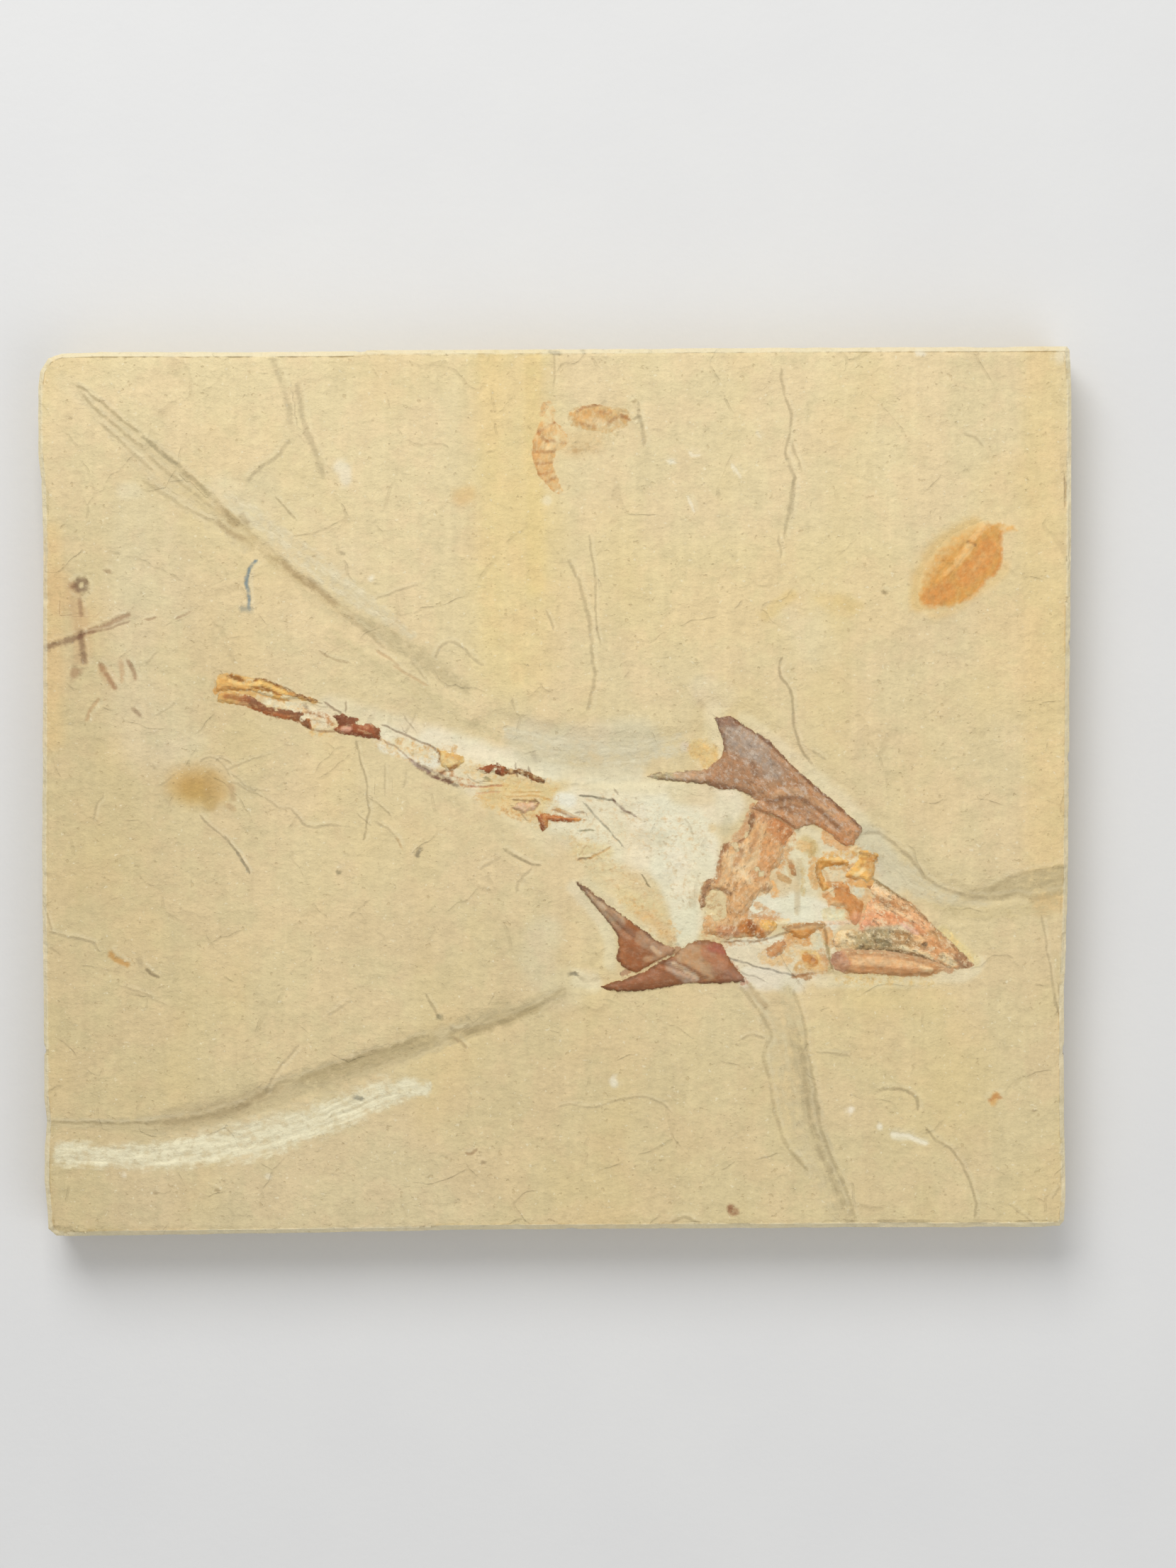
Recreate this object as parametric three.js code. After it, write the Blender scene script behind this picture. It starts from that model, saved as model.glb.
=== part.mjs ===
// Fossil fish slab: a sawn plate of cream limestone with the brown bones of one spiny fish standing
// a little proud of its face, and a small shrimp and an oval shell film beside it.
// The slab lies on its back. X runs along its width, Y up the slab, Z out of the prepared face.
// The origin is the middle of the underside.

import * as THREE from 'three';

// Driving dimensions, in millimetres.
const SLAB_THICKNESS = 14;
const ARRIS = 1.1; // width and depth of the knocked-off edge round both faces
const FISH_OFFSET_X = 0.35; // the fossils are laid out from the middle of the face, then moved by this
const FISH_OFFSET_Y = 0.25;

// How far each kind of fossil stands out of the face.
const SPINE_RELIEF = 1.1;
const SNOUT_RELIEF = 1.3;
const JAW_RELIEF = 1.2;
const PLATE_RELIEF = 0.8;
const SCRAP_RELIEF = 0.6;
const FIN_RELIEF = 0.5;
const FILM_RELIEF = 0.35;

// Finishes.
const LIMESTONE = { color: 0xdccba2, roughness: 0.92, metalness: 0 };
const BROWN_BONE = { color: 0x9c6a47, roughness: 0.6, metalness: 0 };
const TAN_BONE = { color: 0xb98d5f, roughness: 0.72, metalness: 0 };
const PINK_BONE = { color: 0xc89368, roughness: 0.7, metalness: 0 };
const OCHRE_BONE = { color: 0xc69a55, roughness: 0.74, metalness: 0 };
const PALE_FILM = { color: 0xd0a468, roughness: 0.85, metalness: 0 };

// The sawn outline of the slab, from its lower left corner round to the right. The saw wandered a
// little on every side, the upper left corner is knocked off, and the lower left one is chipped.
const SLAB_OUTLINE = [
  [-99.25, -85.75], [-97.65, -87.15], [-94.65, -87.25], [-81.65, -87.0], [-69.65, -86.85],
  [-54.65, -86.65], [-39.65, -86.35], [-27.65, -86.15], [-19.65, -85.95], [0.35, -85.8],
  [20.35, -85.7], [40.35, -85.6], [60.35, -85.45], [80.35, -85.45], [95.35, -85.35],
  [98.95, -85.15], [99.85, -84.15],
  [100.1, -78.75], [99.85, -61.75], [99.8, -41.75], [100.3, -27.75], [100.6, -17.75],
  [100.8, 5.25], [101.05, 30.25], [101.25, 60.25], [101.25, 78.25], [100.95, 86.45], [100.35, 87.25],
  [88.35, 87.1], [70.35, 87.05], [45.35, 86.95], [25.35, 86.8], [5.35, 86.65], [-17.65, 86.55],
  [-35.65, 86.45], [-43.65, 86.2], [-69.65, 86.1], [-89.65, 86.1], [-96.65, 85.85],
  [-99.25, 84.85], [-100.85, 82.25], [-101.25, 79.25],
  [-101.2, 66.25], [-100.65, 60.25], [-100.25, 50.25], [-100.3, 25.25], [-100.35, 5.25],
  [-100.5, -9.75], [-100.4, -24.75], [-100.15, -41.75], [-100.05, -59.75], [-99.55, -64.75],
  [-99.95, -69.75], [-99.95, -76.75], [-99.45, -81.75],
];

// The big backward spine over the nape: a broad root on the skull, a long straight outer edge up to
// the torn tip, and a thin prong pointing to the tail.
const UPPER_SPINE = [
  [31.0, 14.2], [33.9, 14.3], [35.4, 13.3], [37.6, 12.0], [39.7, 10.7], [41.7, 9.6], [43.7, 7.3],
  [45.9, 4.9], [48.1, 2.9], [50.3, 1.1], [52.5, -0.9], [54.7, -2.7], [56.8, -4.7], [58.7, -6.4],
  [59.8, -7.5], [59.7, -8.4], [58.5, -9.8], [58.1, -10.7], [56.5, -10.9], [55.4, -10.2],
  [53.6, -8.4], [51.7, -7.3], [49.9, -6.6], [48.1, -6.9], [46.8, -7.6], [45.4, -6.4], [43.0, -5.0],
  [40.5, -4.0], [38.3, -3.6], [39.9, -2.1], [38.6, -1.5], [37.7, -0.9], [36.5, -0.2], [33.9, 0.35],
  [31.9, 0.0], [31.0, 0.7], [29.6, 1.3], [27.7, 1.4], [24.1, 1.8], [20.1, 2.1], [17.9, 2.7],
  [19.0, 3.3], [22.3, 3.4], [25.9, 3.7], [27.9, 3.6], [29.6, 4.0], [31.0, 5.3], [32.5, 6.5],
  [33.0, 8.0], [32.8, 9.4], [32.3, 11.3], [31.6, 13.1],
];

// The shoulder girdle: a rough band down the back of the head, widest over the gill opening, with a
// thin strut down its tail side and a foot that turns forward under the head.
const SHOULDER_GIRDLE = [
  [38.0, -4.1], [40.3, -4.5], [42.8, -5.5], [45.1, -6.9], [46.4, -8.1], [45.6, -9.1], [44.8, -10.4],
  [44.3, -12.0], [44.2, -13.5], [43.2, -15.1], [42.0, -15.7], [41.5, -17.2], [42.4, -18.9],
  [41.2, -20.3], [40.0, -19.9], [38.4, -21.7], [37.4, -23.6], [36.4, -24.5], [37.6, -25.2],
  [39.9, -25.2], [42.4, -25.5], [43.4, -26.4], [42.2, -27.6], [41.5, -28.4], [39.9, -29.0],
  [37.8, -28.6], [36.0, -28.8], [33.5, -29.2], [31.8, -28.6], [30.3, -28.2], [29.0, -28.0],
  [28.7, -26.4], [29.0, -25.0], [30.5, -24.0], [31.5, -24.8], [32.6, -25.4], [33.6, -24.4],
  [33.2, -22.5], [33.6, -20.6], [32.2, -19.6], [30.2, -19.4], [29.5, -20.6], [29.0, -22.9],
  [28.3, -23.2], [28.0, -21.5], [28.3, -19.6], [28.7, -18.4], [29.6, -17.6], [31.2, -17.2],
  [31.6, -16.3], [31.5, -14.6], [32.2, -12.6], [32.4, -11.0], [33.3, -10.3], [34.8, -10.4],
  [36.2, -9.9], [37.4, -9.1], [37.9, -7.7], [37.5, -6.2],
];

// Ochre bones of the skull roof: a bent bar behind the eye and a block above the snout.
const SKULL_BAR = [
  [50.9, -14.3], [51.5, -13.3], [53.6, -13.1], [55.6, -13.4], [57.2, -14.0], [57.0, -14.7],
  [54.8, -14.8], [52.6, -14.9], [52.0, -15.7], [52.4, -17.6], [53.2, -19.3], [52.4, -19.9],
  [51.4, -18.2], [50.6, -16.2],
];
const SKULL_BLOCK = [
  [59.4, -11.9], [61.5, -12.1], [62.8, -12.7], [63.0, -13.6], [62.3, -14.4], [62.2, -16.0],
  [61.8, -17.2], [60.7, -18.2], [59.6, -17.2], [58.6, -17.6], [57.4, -17.2], [56.6, -16.8],
  [57.6, -15.4], [58.8, -14.2], [59.4, -13.2],
];

// The cheek: a red-brown plate in front of the eye.
const CHEEK_PLATE = [
  [53.9, -18.4], [55.4, -18.2], [57.0, -18.8], [57.6, -20.2], [59.0, -21.2], [60.2, -22.2],
  [59.8, -23.6], [59.4, -25.2], [58.5, -26.4], [57.6, -25.6], [57.3, -24.0], [56.2, -22.8],
  [54.6, -22.7], [53.2, -22.5], [54.3, -21.0], [54.5, -19.6],
];

// Two bones of the gill cover: a bar across its lower edge and a lozenge under it.
const GILL_BAR = [
  [44.2, -26.8], [46.0, -26.3], [49.0, -26.0], [51.9, -25.9], [52.4, -26.8], [51.0, -27.4],
  [49.9, -27.9], [49.2, -28.9], [47.6, -29.2], [46.2, -28.3], [45.0, -27.5],
];
const GILL_PLATE = [
  [41.1, -31.2], [42.7, -29.7], [44.4, -29.4], [45.0, -30.2], [44.2, -31.8], [42.2, -33.1],
  [41.2, -32.4],
];

// The snout: a long rough wedge from the eye to the pointed tip, with the tooth row along its foot.
const SNOUT = [
  [62.6, -17.7], [65.1, -19.3], [67.7, -21.0], [69.8, -22.4], [71.8, -24.4], [73.8, -26.8],
  [75.9, -28.6], [78.1, -30.6], [80.3, -32.6], [81.6, -34.2], [80.6, -34.8], [79.0, -35.0],
  [77.0, -34.9], [75.3, -34.0], [72.8, -33.0], [69.4, -32.3], [66.0, -31.6], [63.0, -31.0],
  [60.4, -31.3], [58.0, -31.0], [56.2, -30.6], [54.6, -30.8], [54.0, -29.4], [55.2, -27.8],
  [57.4, -27.2], [58.8, -27.6], [60.0, -26.2], [60.4, -24.0], [61.0, -22.2], [62.2, -20.8],
  [61.6, -19.2],
];

// The lower jaw: a straight smooth rod with a rounded joint end.
const LOWER_JAW = [
  [53.7, -33.4], [54.0, -32.3], [55.2, -31.6], [57.0, -31.7], [59.4, -32.0], [63.0, -31.9],
  [66.0, -32.3], [69.4, -32.9], [72.4, -33.5], [74.6, -34.4], [75.8, -35.1], [74.4, -35.8],
  [72.6, -36.4], [69.0, -36.5], [66.2, -36.3], [62.2, -35.9], [58.5, -35.9], [56.4, -35.8],
  [54.6, -35.1],
];

// The two lower spines, crossing behind the girdle's foot: one points up to the tail, the other
// lies along the belly and carries the broad hip end.
const PECTORAL_SPINE = [
  [4.0, -18.1], [6.1, -19.3], [8.0, -20.9], [9.9, -22.4], [12.1, -24.0], [14.3, -25.6],
  [16.3, -27.0], [17.9, -28.2], [19.2, -29.4], [21.0, -30.3], [23.2, -31.2], [22.6, -32.1],
  [20.2, -32.9], [18.6, -33.9], [17.2, -34.8], [15.6, -35.6], [14.0, -35.2], [12.8, -34.4],
  [11.9, -33.1], [12.3, -30.6], [12.0, -28.2], [11.3, -27.1], [9.9, -25.4], [8.0, -23.1],
  [6.1, -20.8],
];
const PELVIC_SPINE = [
  [8.9, -38.5], [10.5, -37.9], [12.8, -37.3], [15.0, -36.4], [17.4, -35.6], [19.0, -34.6],
  [20.6, -33.5], [22.8, -32.7], [23.8, -31.5], [25.5, -30.3], [28.1, -29.3], [30.6, -29.8],
  [32.2, -30.1], [32.9, -31.4], [33.5, -33.1], [34.8, -34.7], [36.3, -36.2], [36.7, -37.4],
  [34.0, -37.6], [31.9, -37.8], [28.1, -37.8], [26.1, -37.6], [23.6, -38.1], [20.4, -38.7],
  [15.9, -39.2], [12.1, -39.3], [9.9, -38.9],
];

// What is left of the backbone and of the scutes along the belly.
const BACKBONE = [
  [-15.7, 4.1], [-13.6, 4.9], [-11.7, 5.1], [-10.5, 4.7], [-9.4, 4.1], [-7.1, 4.1], [-4.6, 3.0],
  [-2.2, 1.9], [-2.5, 1.3], [-5.0, 2.2], [-7.4, 3.3], [-9.6, 3.2], [-10.8, 2.7], [-12.2, 3.5],
  [-14.4, 3.3],
];
const TAIL_VERTEBRA = [
  [-23.4, 8.0], [-21.2, 7.4], [-19.4, 7.2], [-18.2, 6.6], [-18.2, 5.4], [-19.6, 4.4],
  [-20.8, 3.5], [-22.2, 4.6], [-23.2, 5.8], [-22.9, 7.0],
];
const BELLY_SCUTE = [
  [-8.7, -3.4], [-7.0, -2.4], [-3.5, -2.5], [-4.2, -3.6], [-6.4, -4.5],
];
const BELLY_SPINE = [
  [-3.9, -5.0], [-2.4, -4.7], [0.2, -5.0], [2.9, -5.5], [6.0, -5.8], [3.0, -6.2], [-1.6, -5.9],
  [-1.9, -7.2], [-2.7, -8.0], [-3.3, -6.8],
];

// The root of the tail and the two lobes of its fin.
const TAIL_ROOT = [
  [-44.4, 12.1], [-43.0, 12.6], [-43.1, 13.8], [-43.6, 14.5], [-41.9, 14.9], [-41.2, 14.4],
  [-39.1, 14.0], [-38.4, 13.2], [-36.3, 12.7], [-34.5, 12.0], [-34.5, 9.9], [-35.6, 10.1],
  [-37.1, 10.3], [-39.9, 10.7], [-42.4, 11.2],
];
const UPPER_FIN_LOBE = [
  [-66.7, 21.6], [-64.9, 22.2], [-63.9, 22.7], [-62.3, 22.4], [-60.3, 21.5], [-57.8, 21.8],
  [-55.2, 20.9], [-53.4, 20.0], [-51.5, 19.0], [-49.6, 18.4], [-48.3, 18.1], [-46.4, 17.2],
  [-47.4, 17.0], [-49.0, 17.5], [-51.0, 17.9], [-52.7, 17.6], [-54.7, 17.8], [-57.2, 18.6],
  [-59.3, 19.5], [-62.3, 19.5], [-64.5, 19.5], [-66.7, 19.4],
];
const LOWER_FIN_LOBE = [
  [-66.6, 19.0], [-63.0, 19.1], [-59.8, 18.3], [-58.3, 17.3], [-56.7, 16.4], [-54.7, 15.8],
  [-52.1, 15.5], [-50.6, 15.3], [-49.3, 14.9], [-48.3, 13.8], [-48.1, 12.0], [-49.6, 12.6],
  [-50.4, 13.4], [-52.1, 13.8], [-54.7, 14.2], [-56.5, 14.7], [-58.5, 15.6], [-60.3, 16.3],
  [-62.6, 16.9], [-66.5, 17.3],
];

// The small shrimp at the top of the slab: its curled tail and, apart from it, its shell.
const SHRIMP_TAIL = [
  [-0.8, 75.6], [-1.9, 74.4], [-2.7, 72.7], [-3.6, 71.2], [-4.5, 68.9], [-4.8, 67.4], [-4.7, 65.5],
  [-4.1, 63.5], [-3.7, 61.8], [-2.4, 60.4], [-1.2, 58.9], [0.5, 57.8], [1.2, 58.6], [0.5, 60.6],
  [-0.2, 62.1], [-0.7, 63.5], [-0.4, 65.0], [0.1, 66.2], [1.5, 67.2], [2.2, 68.1], [2.0, 69.6],
  [0.8, 70.3], [-0.2, 71.8], [-0.4, 72.7], [-0.2, 74.2],
];
const SHRIMP_SHELL = [
  [2.2, 74.2], [3.9, 74.4], [5.1, 75.3], [6.8, 75.5], [8.8, 75.4], [10.2, 74.9], [12.2, 74.2],
  [13.9, 73.5], [14.6, 72.5], [13.1, 71.5], [11.7, 70.5], [9.8, 69.8], [7.8, 70.3], [5.9, 70.5],
  [3.9, 71.3], [2.7, 72.0], [2.5, 73.0],
];

// The oval shell at the right: a thin orange film.
const OVAL_SHELL = [
  [71.1, 35.6], [70.7, 38.6], [71.2, 41.7], [72.2, 44.1], [73.6, 46.0], [75.4, 48.2], [77.3, 49.8],
  [79.9, 51.1], [82.4, 52.3], [84.4, 52.8], [87.5, 52.4], [89.5, 51.9], [90.7, 50.6], [88.9, 50.3],
  [87.6, 50.0], [87.4, 48.2], [87.5, 45.8], [87.3, 43.7], [86.4, 42.1], [84.4, 41.0], [83.4, 39.2],
  [81.3, 37.4], [79.1, 36.2], [76.2, 35.6], [73.2, 35.0],
];

function shapeOf(outline) {
  return new THREE.Shape(outline.map(([x, y]) => new THREE.Vector2(x, y)));
}

// The slab, with the same knocked-off arris round its face and its back.
function sawnSlab() {
  const geometry = new THREE.ExtrudeGeometry(shapeOf(SLAB_OUTLINE), {
    depth: SLAB_THICKNESS - 2 * ARRIS,
    bevelThickness: ARRIS,
    bevelSize: ARRIS,
    bevelOffset: -ARRIS,
    bevelSegments: 1,
  });
  geometry.translate(0, 0, ARRIS);
  const mesh = new THREE.Mesh(geometry, new THREE.MeshStandardMaterial(LIMESTONE));
  mesh.name = 'slab';
  return mesh;
}

// One fossil: a flat plate that sits on the prepared face and stands out of it by its relief.
function fossil(name, outline, relief, finish) {
  const geometry = new THREE.ExtrudeGeometry(shapeOf(outline), { depth: relief, bevelEnabled: false });
  const mesh = new THREE.Mesh(geometry, new THREE.MeshStandardMaterial(finish));
  mesh.name = name;
  return mesh;
}

const fossils = new THREE.Group();
fossils.position.set(FISH_OFFSET_X, FISH_OFFSET_Y, SLAB_THICKNESS);

// Head and spines.
fossils.add(fossil('upper_spine', UPPER_SPINE, SPINE_RELIEF, BROWN_BONE));
fossils.add(fossil('shoulder_girdle', SHOULDER_GIRDLE, PLATE_RELIEF, TAN_BONE));
fossils.add(fossil('skull_bar', SKULL_BAR, SCRAP_RELIEF, OCHRE_BONE));
fossils.add(fossil('skull_block', SKULL_BLOCK, PLATE_RELIEF, OCHRE_BONE));
fossils.add(fossil('cheek_plate', CHEEK_PLATE, PLATE_RELIEF, BROWN_BONE));
fossils.add(fossil('gill_bar', GILL_BAR, SCRAP_RELIEF, TAN_BONE));
fossils.add(fossil('gill_plate', GILL_PLATE, SCRAP_RELIEF, TAN_BONE));
fossils.add(fossil('snout', SNOUT, SNOUT_RELIEF, PINK_BONE));
fossils.add(fossil('lower_jaw', LOWER_JAW, JAW_RELIEF, PINK_BONE));
fossils.add(fossil('pectoral_spine', PECTORAL_SPINE, SPINE_RELIEF, BROWN_BONE));
fossils.add(fossil('pelvic_spine', PELVIC_SPINE, SPINE_RELIEF, BROWN_BONE));

// Body and tail.
fossils.add(fossil('backbone', BACKBONE, SCRAP_RELIEF, BROWN_BONE));
fossils.add(fossil('tail_vertebra', TAIL_VERTEBRA, SCRAP_RELIEF, OCHRE_BONE));
fossils.add(fossil('belly_scute', BELLY_SCUTE, SCRAP_RELIEF, BROWN_BONE));
fossils.add(fossil('belly_spine', BELLY_SPINE, SCRAP_RELIEF, BROWN_BONE));
fossils.add(fossil('tail_root', TAIL_ROOT, PLATE_RELIEF, BROWN_BONE));
fossils.add(fossil('upper_fin_lobe', UPPER_FIN_LOBE, FIN_RELIEF, OCHRE_BONE));
fossils.add(fossil('lower_fin_lobe', LOWER_FIN_LOBE, FIN_RELIEF, BROWN_BONE));

// The other fossils on the slab.
fossils.add(fossil('shrimp_tail', SHRIMP_TAIL, FILM_RELIEF, PALE_FILM));
fossils.add(fossil('shrimp_shell', SHRIMP_SHELL, FILM_RELIEF, PALE_FILM));
fossils.add(fossil('oval_shell', OVAL_SHELL, FILM_RELIEF, OCHRE_BONE));

const part = new THREE.Group();
part.add(sawnSlab());
part.add(fossils);

export default part;
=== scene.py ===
import math

import bmesh
import bpy
import numpy as np
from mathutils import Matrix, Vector


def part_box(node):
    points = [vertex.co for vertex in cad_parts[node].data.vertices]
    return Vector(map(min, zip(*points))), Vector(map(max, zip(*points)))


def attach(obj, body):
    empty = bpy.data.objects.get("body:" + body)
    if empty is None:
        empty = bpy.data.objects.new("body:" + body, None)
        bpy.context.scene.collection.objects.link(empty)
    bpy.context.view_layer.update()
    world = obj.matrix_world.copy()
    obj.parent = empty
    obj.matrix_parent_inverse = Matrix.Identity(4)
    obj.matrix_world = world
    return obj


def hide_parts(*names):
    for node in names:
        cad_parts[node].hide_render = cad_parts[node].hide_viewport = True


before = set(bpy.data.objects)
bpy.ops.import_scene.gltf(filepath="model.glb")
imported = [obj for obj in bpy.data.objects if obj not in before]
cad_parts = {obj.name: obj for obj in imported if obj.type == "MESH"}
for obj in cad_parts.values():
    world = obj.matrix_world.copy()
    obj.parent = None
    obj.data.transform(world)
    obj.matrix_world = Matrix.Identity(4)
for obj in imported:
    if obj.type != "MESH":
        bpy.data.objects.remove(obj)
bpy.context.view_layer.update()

MM = 0.001


# The slab: one sawn plate of cream limestone, lying on its back with its bedding face up. The
# face was scraped down by hand to free the fossils, and the saw's sharp edges are chipped away.
FACE_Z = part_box("slab")[1].z / MM
ARRIS = 1.1  # the width of the chipped edge
CELL = 1.15  # the face's cells, and those of the walls
WALL_CELL = 1.3
LEVEL = 0.01  # heights this close are one height
FOSSILS = [name for name in sorted(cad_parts) if name != "slab"]


def placed(name, data):
    """Puts a mesh, a light or a camera into the scene, and gives its object."""
    thing = bpy.data.objects.new(name, data)
    bpy.context.scene.collection.objects.link(thing)
    return thing


def earth(red, green, blue):
    """A colour as the eye sees it, 0 to 255, as the linear colour that a material takes."""
    seen = np.array((red, green, blue)) / 255
    return np.where(seen <= 0.04045, seen / 12.92, ((seen + 0.055) / 1.055) ** 2.4)


def opaque(red, green, blue):
    """The same colour with nothing showing through, as a material's socket takes it."""
    return (*earth(red, green, blue), 1)


def fade(value, none, full):
    """0 up to none, 1 from full on, and a soft step between them."""
    part = np.clip((value - none) / (full - none), 0, 1)
    return part * part * (3 - 2 * part)


def cloud(xy, size, seed):
    """Smooth random swells from -1 to 1 over the face, about size mm across."""
    lattice = np.random.default_rng(seed).uniform(-1, 1, (256, 256))
    place = xy / size + 300.5
    corner = np.floor(place).astype(int)
    part = place - corner
    part = part * part * (3 - 2 * part)
    x0, y0 = corner[:, 0] % 256, corner[:, 1] % 256
    x1, y1 = (x0 + 1) % 256, (y0 + 1) % 256
    low = lattice[x0, y0] * (1 - part[:, 0]) + lattice[x1, y0] * part[:, 0]
    high = lattice[x0, y1] * (1 - part[:, 0]) + lattice[x1, y1] * part[:, 0]
    return low * (1 - part[:, 1]) + high * part[:, 1]


def unsteady(xy, reach, size, seed):
    """The places shifted by up to reach mm, so that a line drawn on them comes out unsteady."""
    return xy + reach * np.stack([cloud(xy, size, seed), cloud(xy, size, seed + 1)], 1)


def eased(points):
    """A line with its corners cut once, so that it bends instead of kinking."""
    points = np.array(points, float)
    if len(points) < 3:
        return points
    before, after = points[:-1], points[1:]
    cut = np.stack([0.75 * before + 0.25 * after, 0.25 * before + 0.75 * after], 1)
    return np.vstack([points[:1], cut.reshape(-1, points.shape[1])[1:-1], points[-1:]])


def follow(xy, line):
    """For each place: its distance from a line, plus on the left and minus on the right, how far
    along the line it is, and how far past either end."""
    start, step = line[:-1], np.diff(line, axis=0)
    length = np.hypot(step[:, 0], step[:, 1])
    away = xy[:, None] - start
    share = (away * step).sum(-1) / length**2
    held = np.clip(share, 0, 1)
    off = np.hypot(*np.moveaxis(away - held[..., None] * step, -1, 0))
    near = off.argmin(1)
    row = np.arange(len(xy))
    turn = step[near, 0] * away[row, near, 1] - step[near, 1] * away[row, near, 0]
    along = (np.cumsum(length) - length)[near] + held[row, near] * length[near]
    past = np.where(near == 0, -share[row, near], 0) * length[near]
    last = np.where(near == len(length) - 1, share[row, near] - 1, 0) * length[near]
    return off[row, near] * np.where(turn < 0, -1, 1), along, np.maximum(np.maximum(past, last), 0)


def width_at(line, along):
    """The half width of an (x, y, half width) line, that far along it."""
    run = np.hypot(*np.diff(line[:, :2], axis=0).T)
    return np.interp(along, np.concatenate([[0], np.cumsum(run)]), line[:, 2])


def close_to(xy, points, reach):
    """The places inside a line's own box, widened by reach."""
    points = np.asarray(points, float)[:, :2]
    return np.flatnonzero(((xy > points.min(0) - reach) & (xy < points.max(0) + reach)).all(1))


def stroke(xy, points, half, soft):
    """How strongly a brush stroke of that half width covers each place, fading over soft mm."""
    cover = np.zeros(len(xy))
    near = close_to(xy, points, half + soft)
    if len(points) == 1:
        off = np.hypot(*(xy[near] - points[0]).T)
    else:
        off = np.abs(follow(xy[near], eased(points))[0])
    cover[near] = fade(off, half + soft, half)
    return cover


def brush(colours, xy, strokes):
    """Lays strokes over the colours, one after another: (colour, strength, half, soft, points)."""
    for colour, strength, half, soft, points in strokes:
        cover = strength * stroke(xy, points, half, soft)
        colours += cover[:, None] * (earth(*colour) - colours)


def plate_edge(name):
    """The outline of a CAD plate in mm, as loose pairs of points, read where its walls end."""
    copy = bmesh.new()
    copy.from_mesh(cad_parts[name].data)
    bmesh.ops.remove_doubles(copy, verts=copy.verts, dist=1e-6)
    upright = [f for f in copy.faces if abs(f.normal.z) < 0.3]
    top = max(v.co.z for f in upright for v in f.verts)
    rim = [
        [v.co.xy for v in e.verts]
        for e in copy.edges
        if min(v.co.z for v in e.verts) > top - 1e-6
        and any(abs(f.normal.z) < 0.3 for f in e.link_faces)
    ]
    copy.free()
    return np.array(rim) / MM


def inside(xy, rim):
    """Distance in mm from a plate's outline, plus inside it and minus outside."""
    depth = np.full(len(xy), -99.0)
    near = close_to(xy, rim.reshape(-1, 2), 5)
    start, step = rim[:, 0], rim[:, 1] - rim[:, 0]
    away = xy[near, None] - start
    held = np.clip((away * step).sum(-1) / (step**2).sum(-1), 0, 1)
    off = np.hypot(*np.moveaxis(away - held[..., None] * step, -1, 0)).min(1)
    spans = (away[..., 1] >= 0) != (away[..., 1] >= step[:, 1])
    rise = np.where(step[:, 1] == 0, 1, step[:, 1])
    left = away[..., 0] < away[..., 1] / rise * step[:, 0]
    odd = (spans & left).sum(1) % 2 == 1
    depth[near] = np.where(odd, off, -off)
    return depth


RIMS = {name: plate_edge(name) for name in FOSSILS}

# The hollows scraped round the fish: (depth, half width, softness, line).
HOLLOWS = [
    (0.55, 3.2, 3, [(-12, 11), (-2, 8), (8, 6.4), (18, 6.4), (28, 8)]),
    (0.5, 2.6, 2.4, [(62.5, -11), (66, -15.5), (71, -19.5), (78, -22)]),
    (0.35, 1.6, 3, [(30.6, 15), (30, 9), (29, 6)]),
    (0.3, 1.2, 2.6, [(37, 15), (46, 7.5), (55, 0), (62, -6)]),
    (0.4, 2.2, 3.2, [(6, -25), (9, -31), (10, -35)]),
    (0.35, 1.6, 2.6, [(78, -27), (83.5, -33), (82, -37), (74, -38.5), (60, -38.5), (48, -38.5)]),
    (0.25, 2, 4, [(-44, 17.5), (-33, 14), (-22, 10.5), (-12, 8)]),
    (0.2, 2, 4, [(-44, 9), (-33, 6), (-22, 0.5), (-10, -6), (0, -14)]),
    (0.3, 1, 2, [(-79, 66), (-70, 57), (-58, 47), (-44, 35), (-34, 28)]),
    (0.4, 1.2, 2.4, [(-74, -64.6), (-60, -61), (-42, -55), (-25, -49), (-8, -43)]),
    (0.25, 1.6, 2.5, [(-78, -70), (-60, -68.5), (-40, -61)]),
    (0.35, 1.8, 2.5, [(44, -44), (46, -56), (48, -66), (54, -77)]),
    (0.25, 1.2, 2.2, [(84, -20.5), (92, -18), (100, -17.5)]),
    (0.18, 3, 5, [(-78, 0), (-66, -2)]),
    (0.15, 2.5, 4, [(-4, 60), (-3, 70), (6, 73)]),
    (0.15, 4, 5, [(76, 42), (84, 48)]),
]


def relief(xy):
    """Height of the scraped face in mm, from the flat face of the CAD plate down."""
    height = 0.09 * cloud(xy, 41, 1) + 0.05 * cloud(xy, 14, 2) + 0.02 * cloud(xy, 5, 3) - 0.17
    for depth, half, soft, points in HOLLOWS:
        height -= depth * stroke(xy, points, half, soft)
    pits = fade(cloud(xy, 2.3, 4), 0.72, 0.9) * fade(cloud(xy, 17, 5), 0.1, 0.6)
    return height - 0.12 * pits


# The stone's own colours: a brighter, yellower head end, a greyer left side, rusty upright
# stains, and the pale chalky ground that the scraping laid bare inside and round the fish. Each
# stroke is (colour, strength, half width, softness, points).
HEAD_END = earth(228, 209, 165)
MIDDLE = earth(222, 202, 158)
MIDDLE_TO_END = 87  # how far up or down the end's full colour is reached
FOOT_END = earth(217, 198, 153)
LEFT_SHADE = earth(207, 188, 144)

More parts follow.
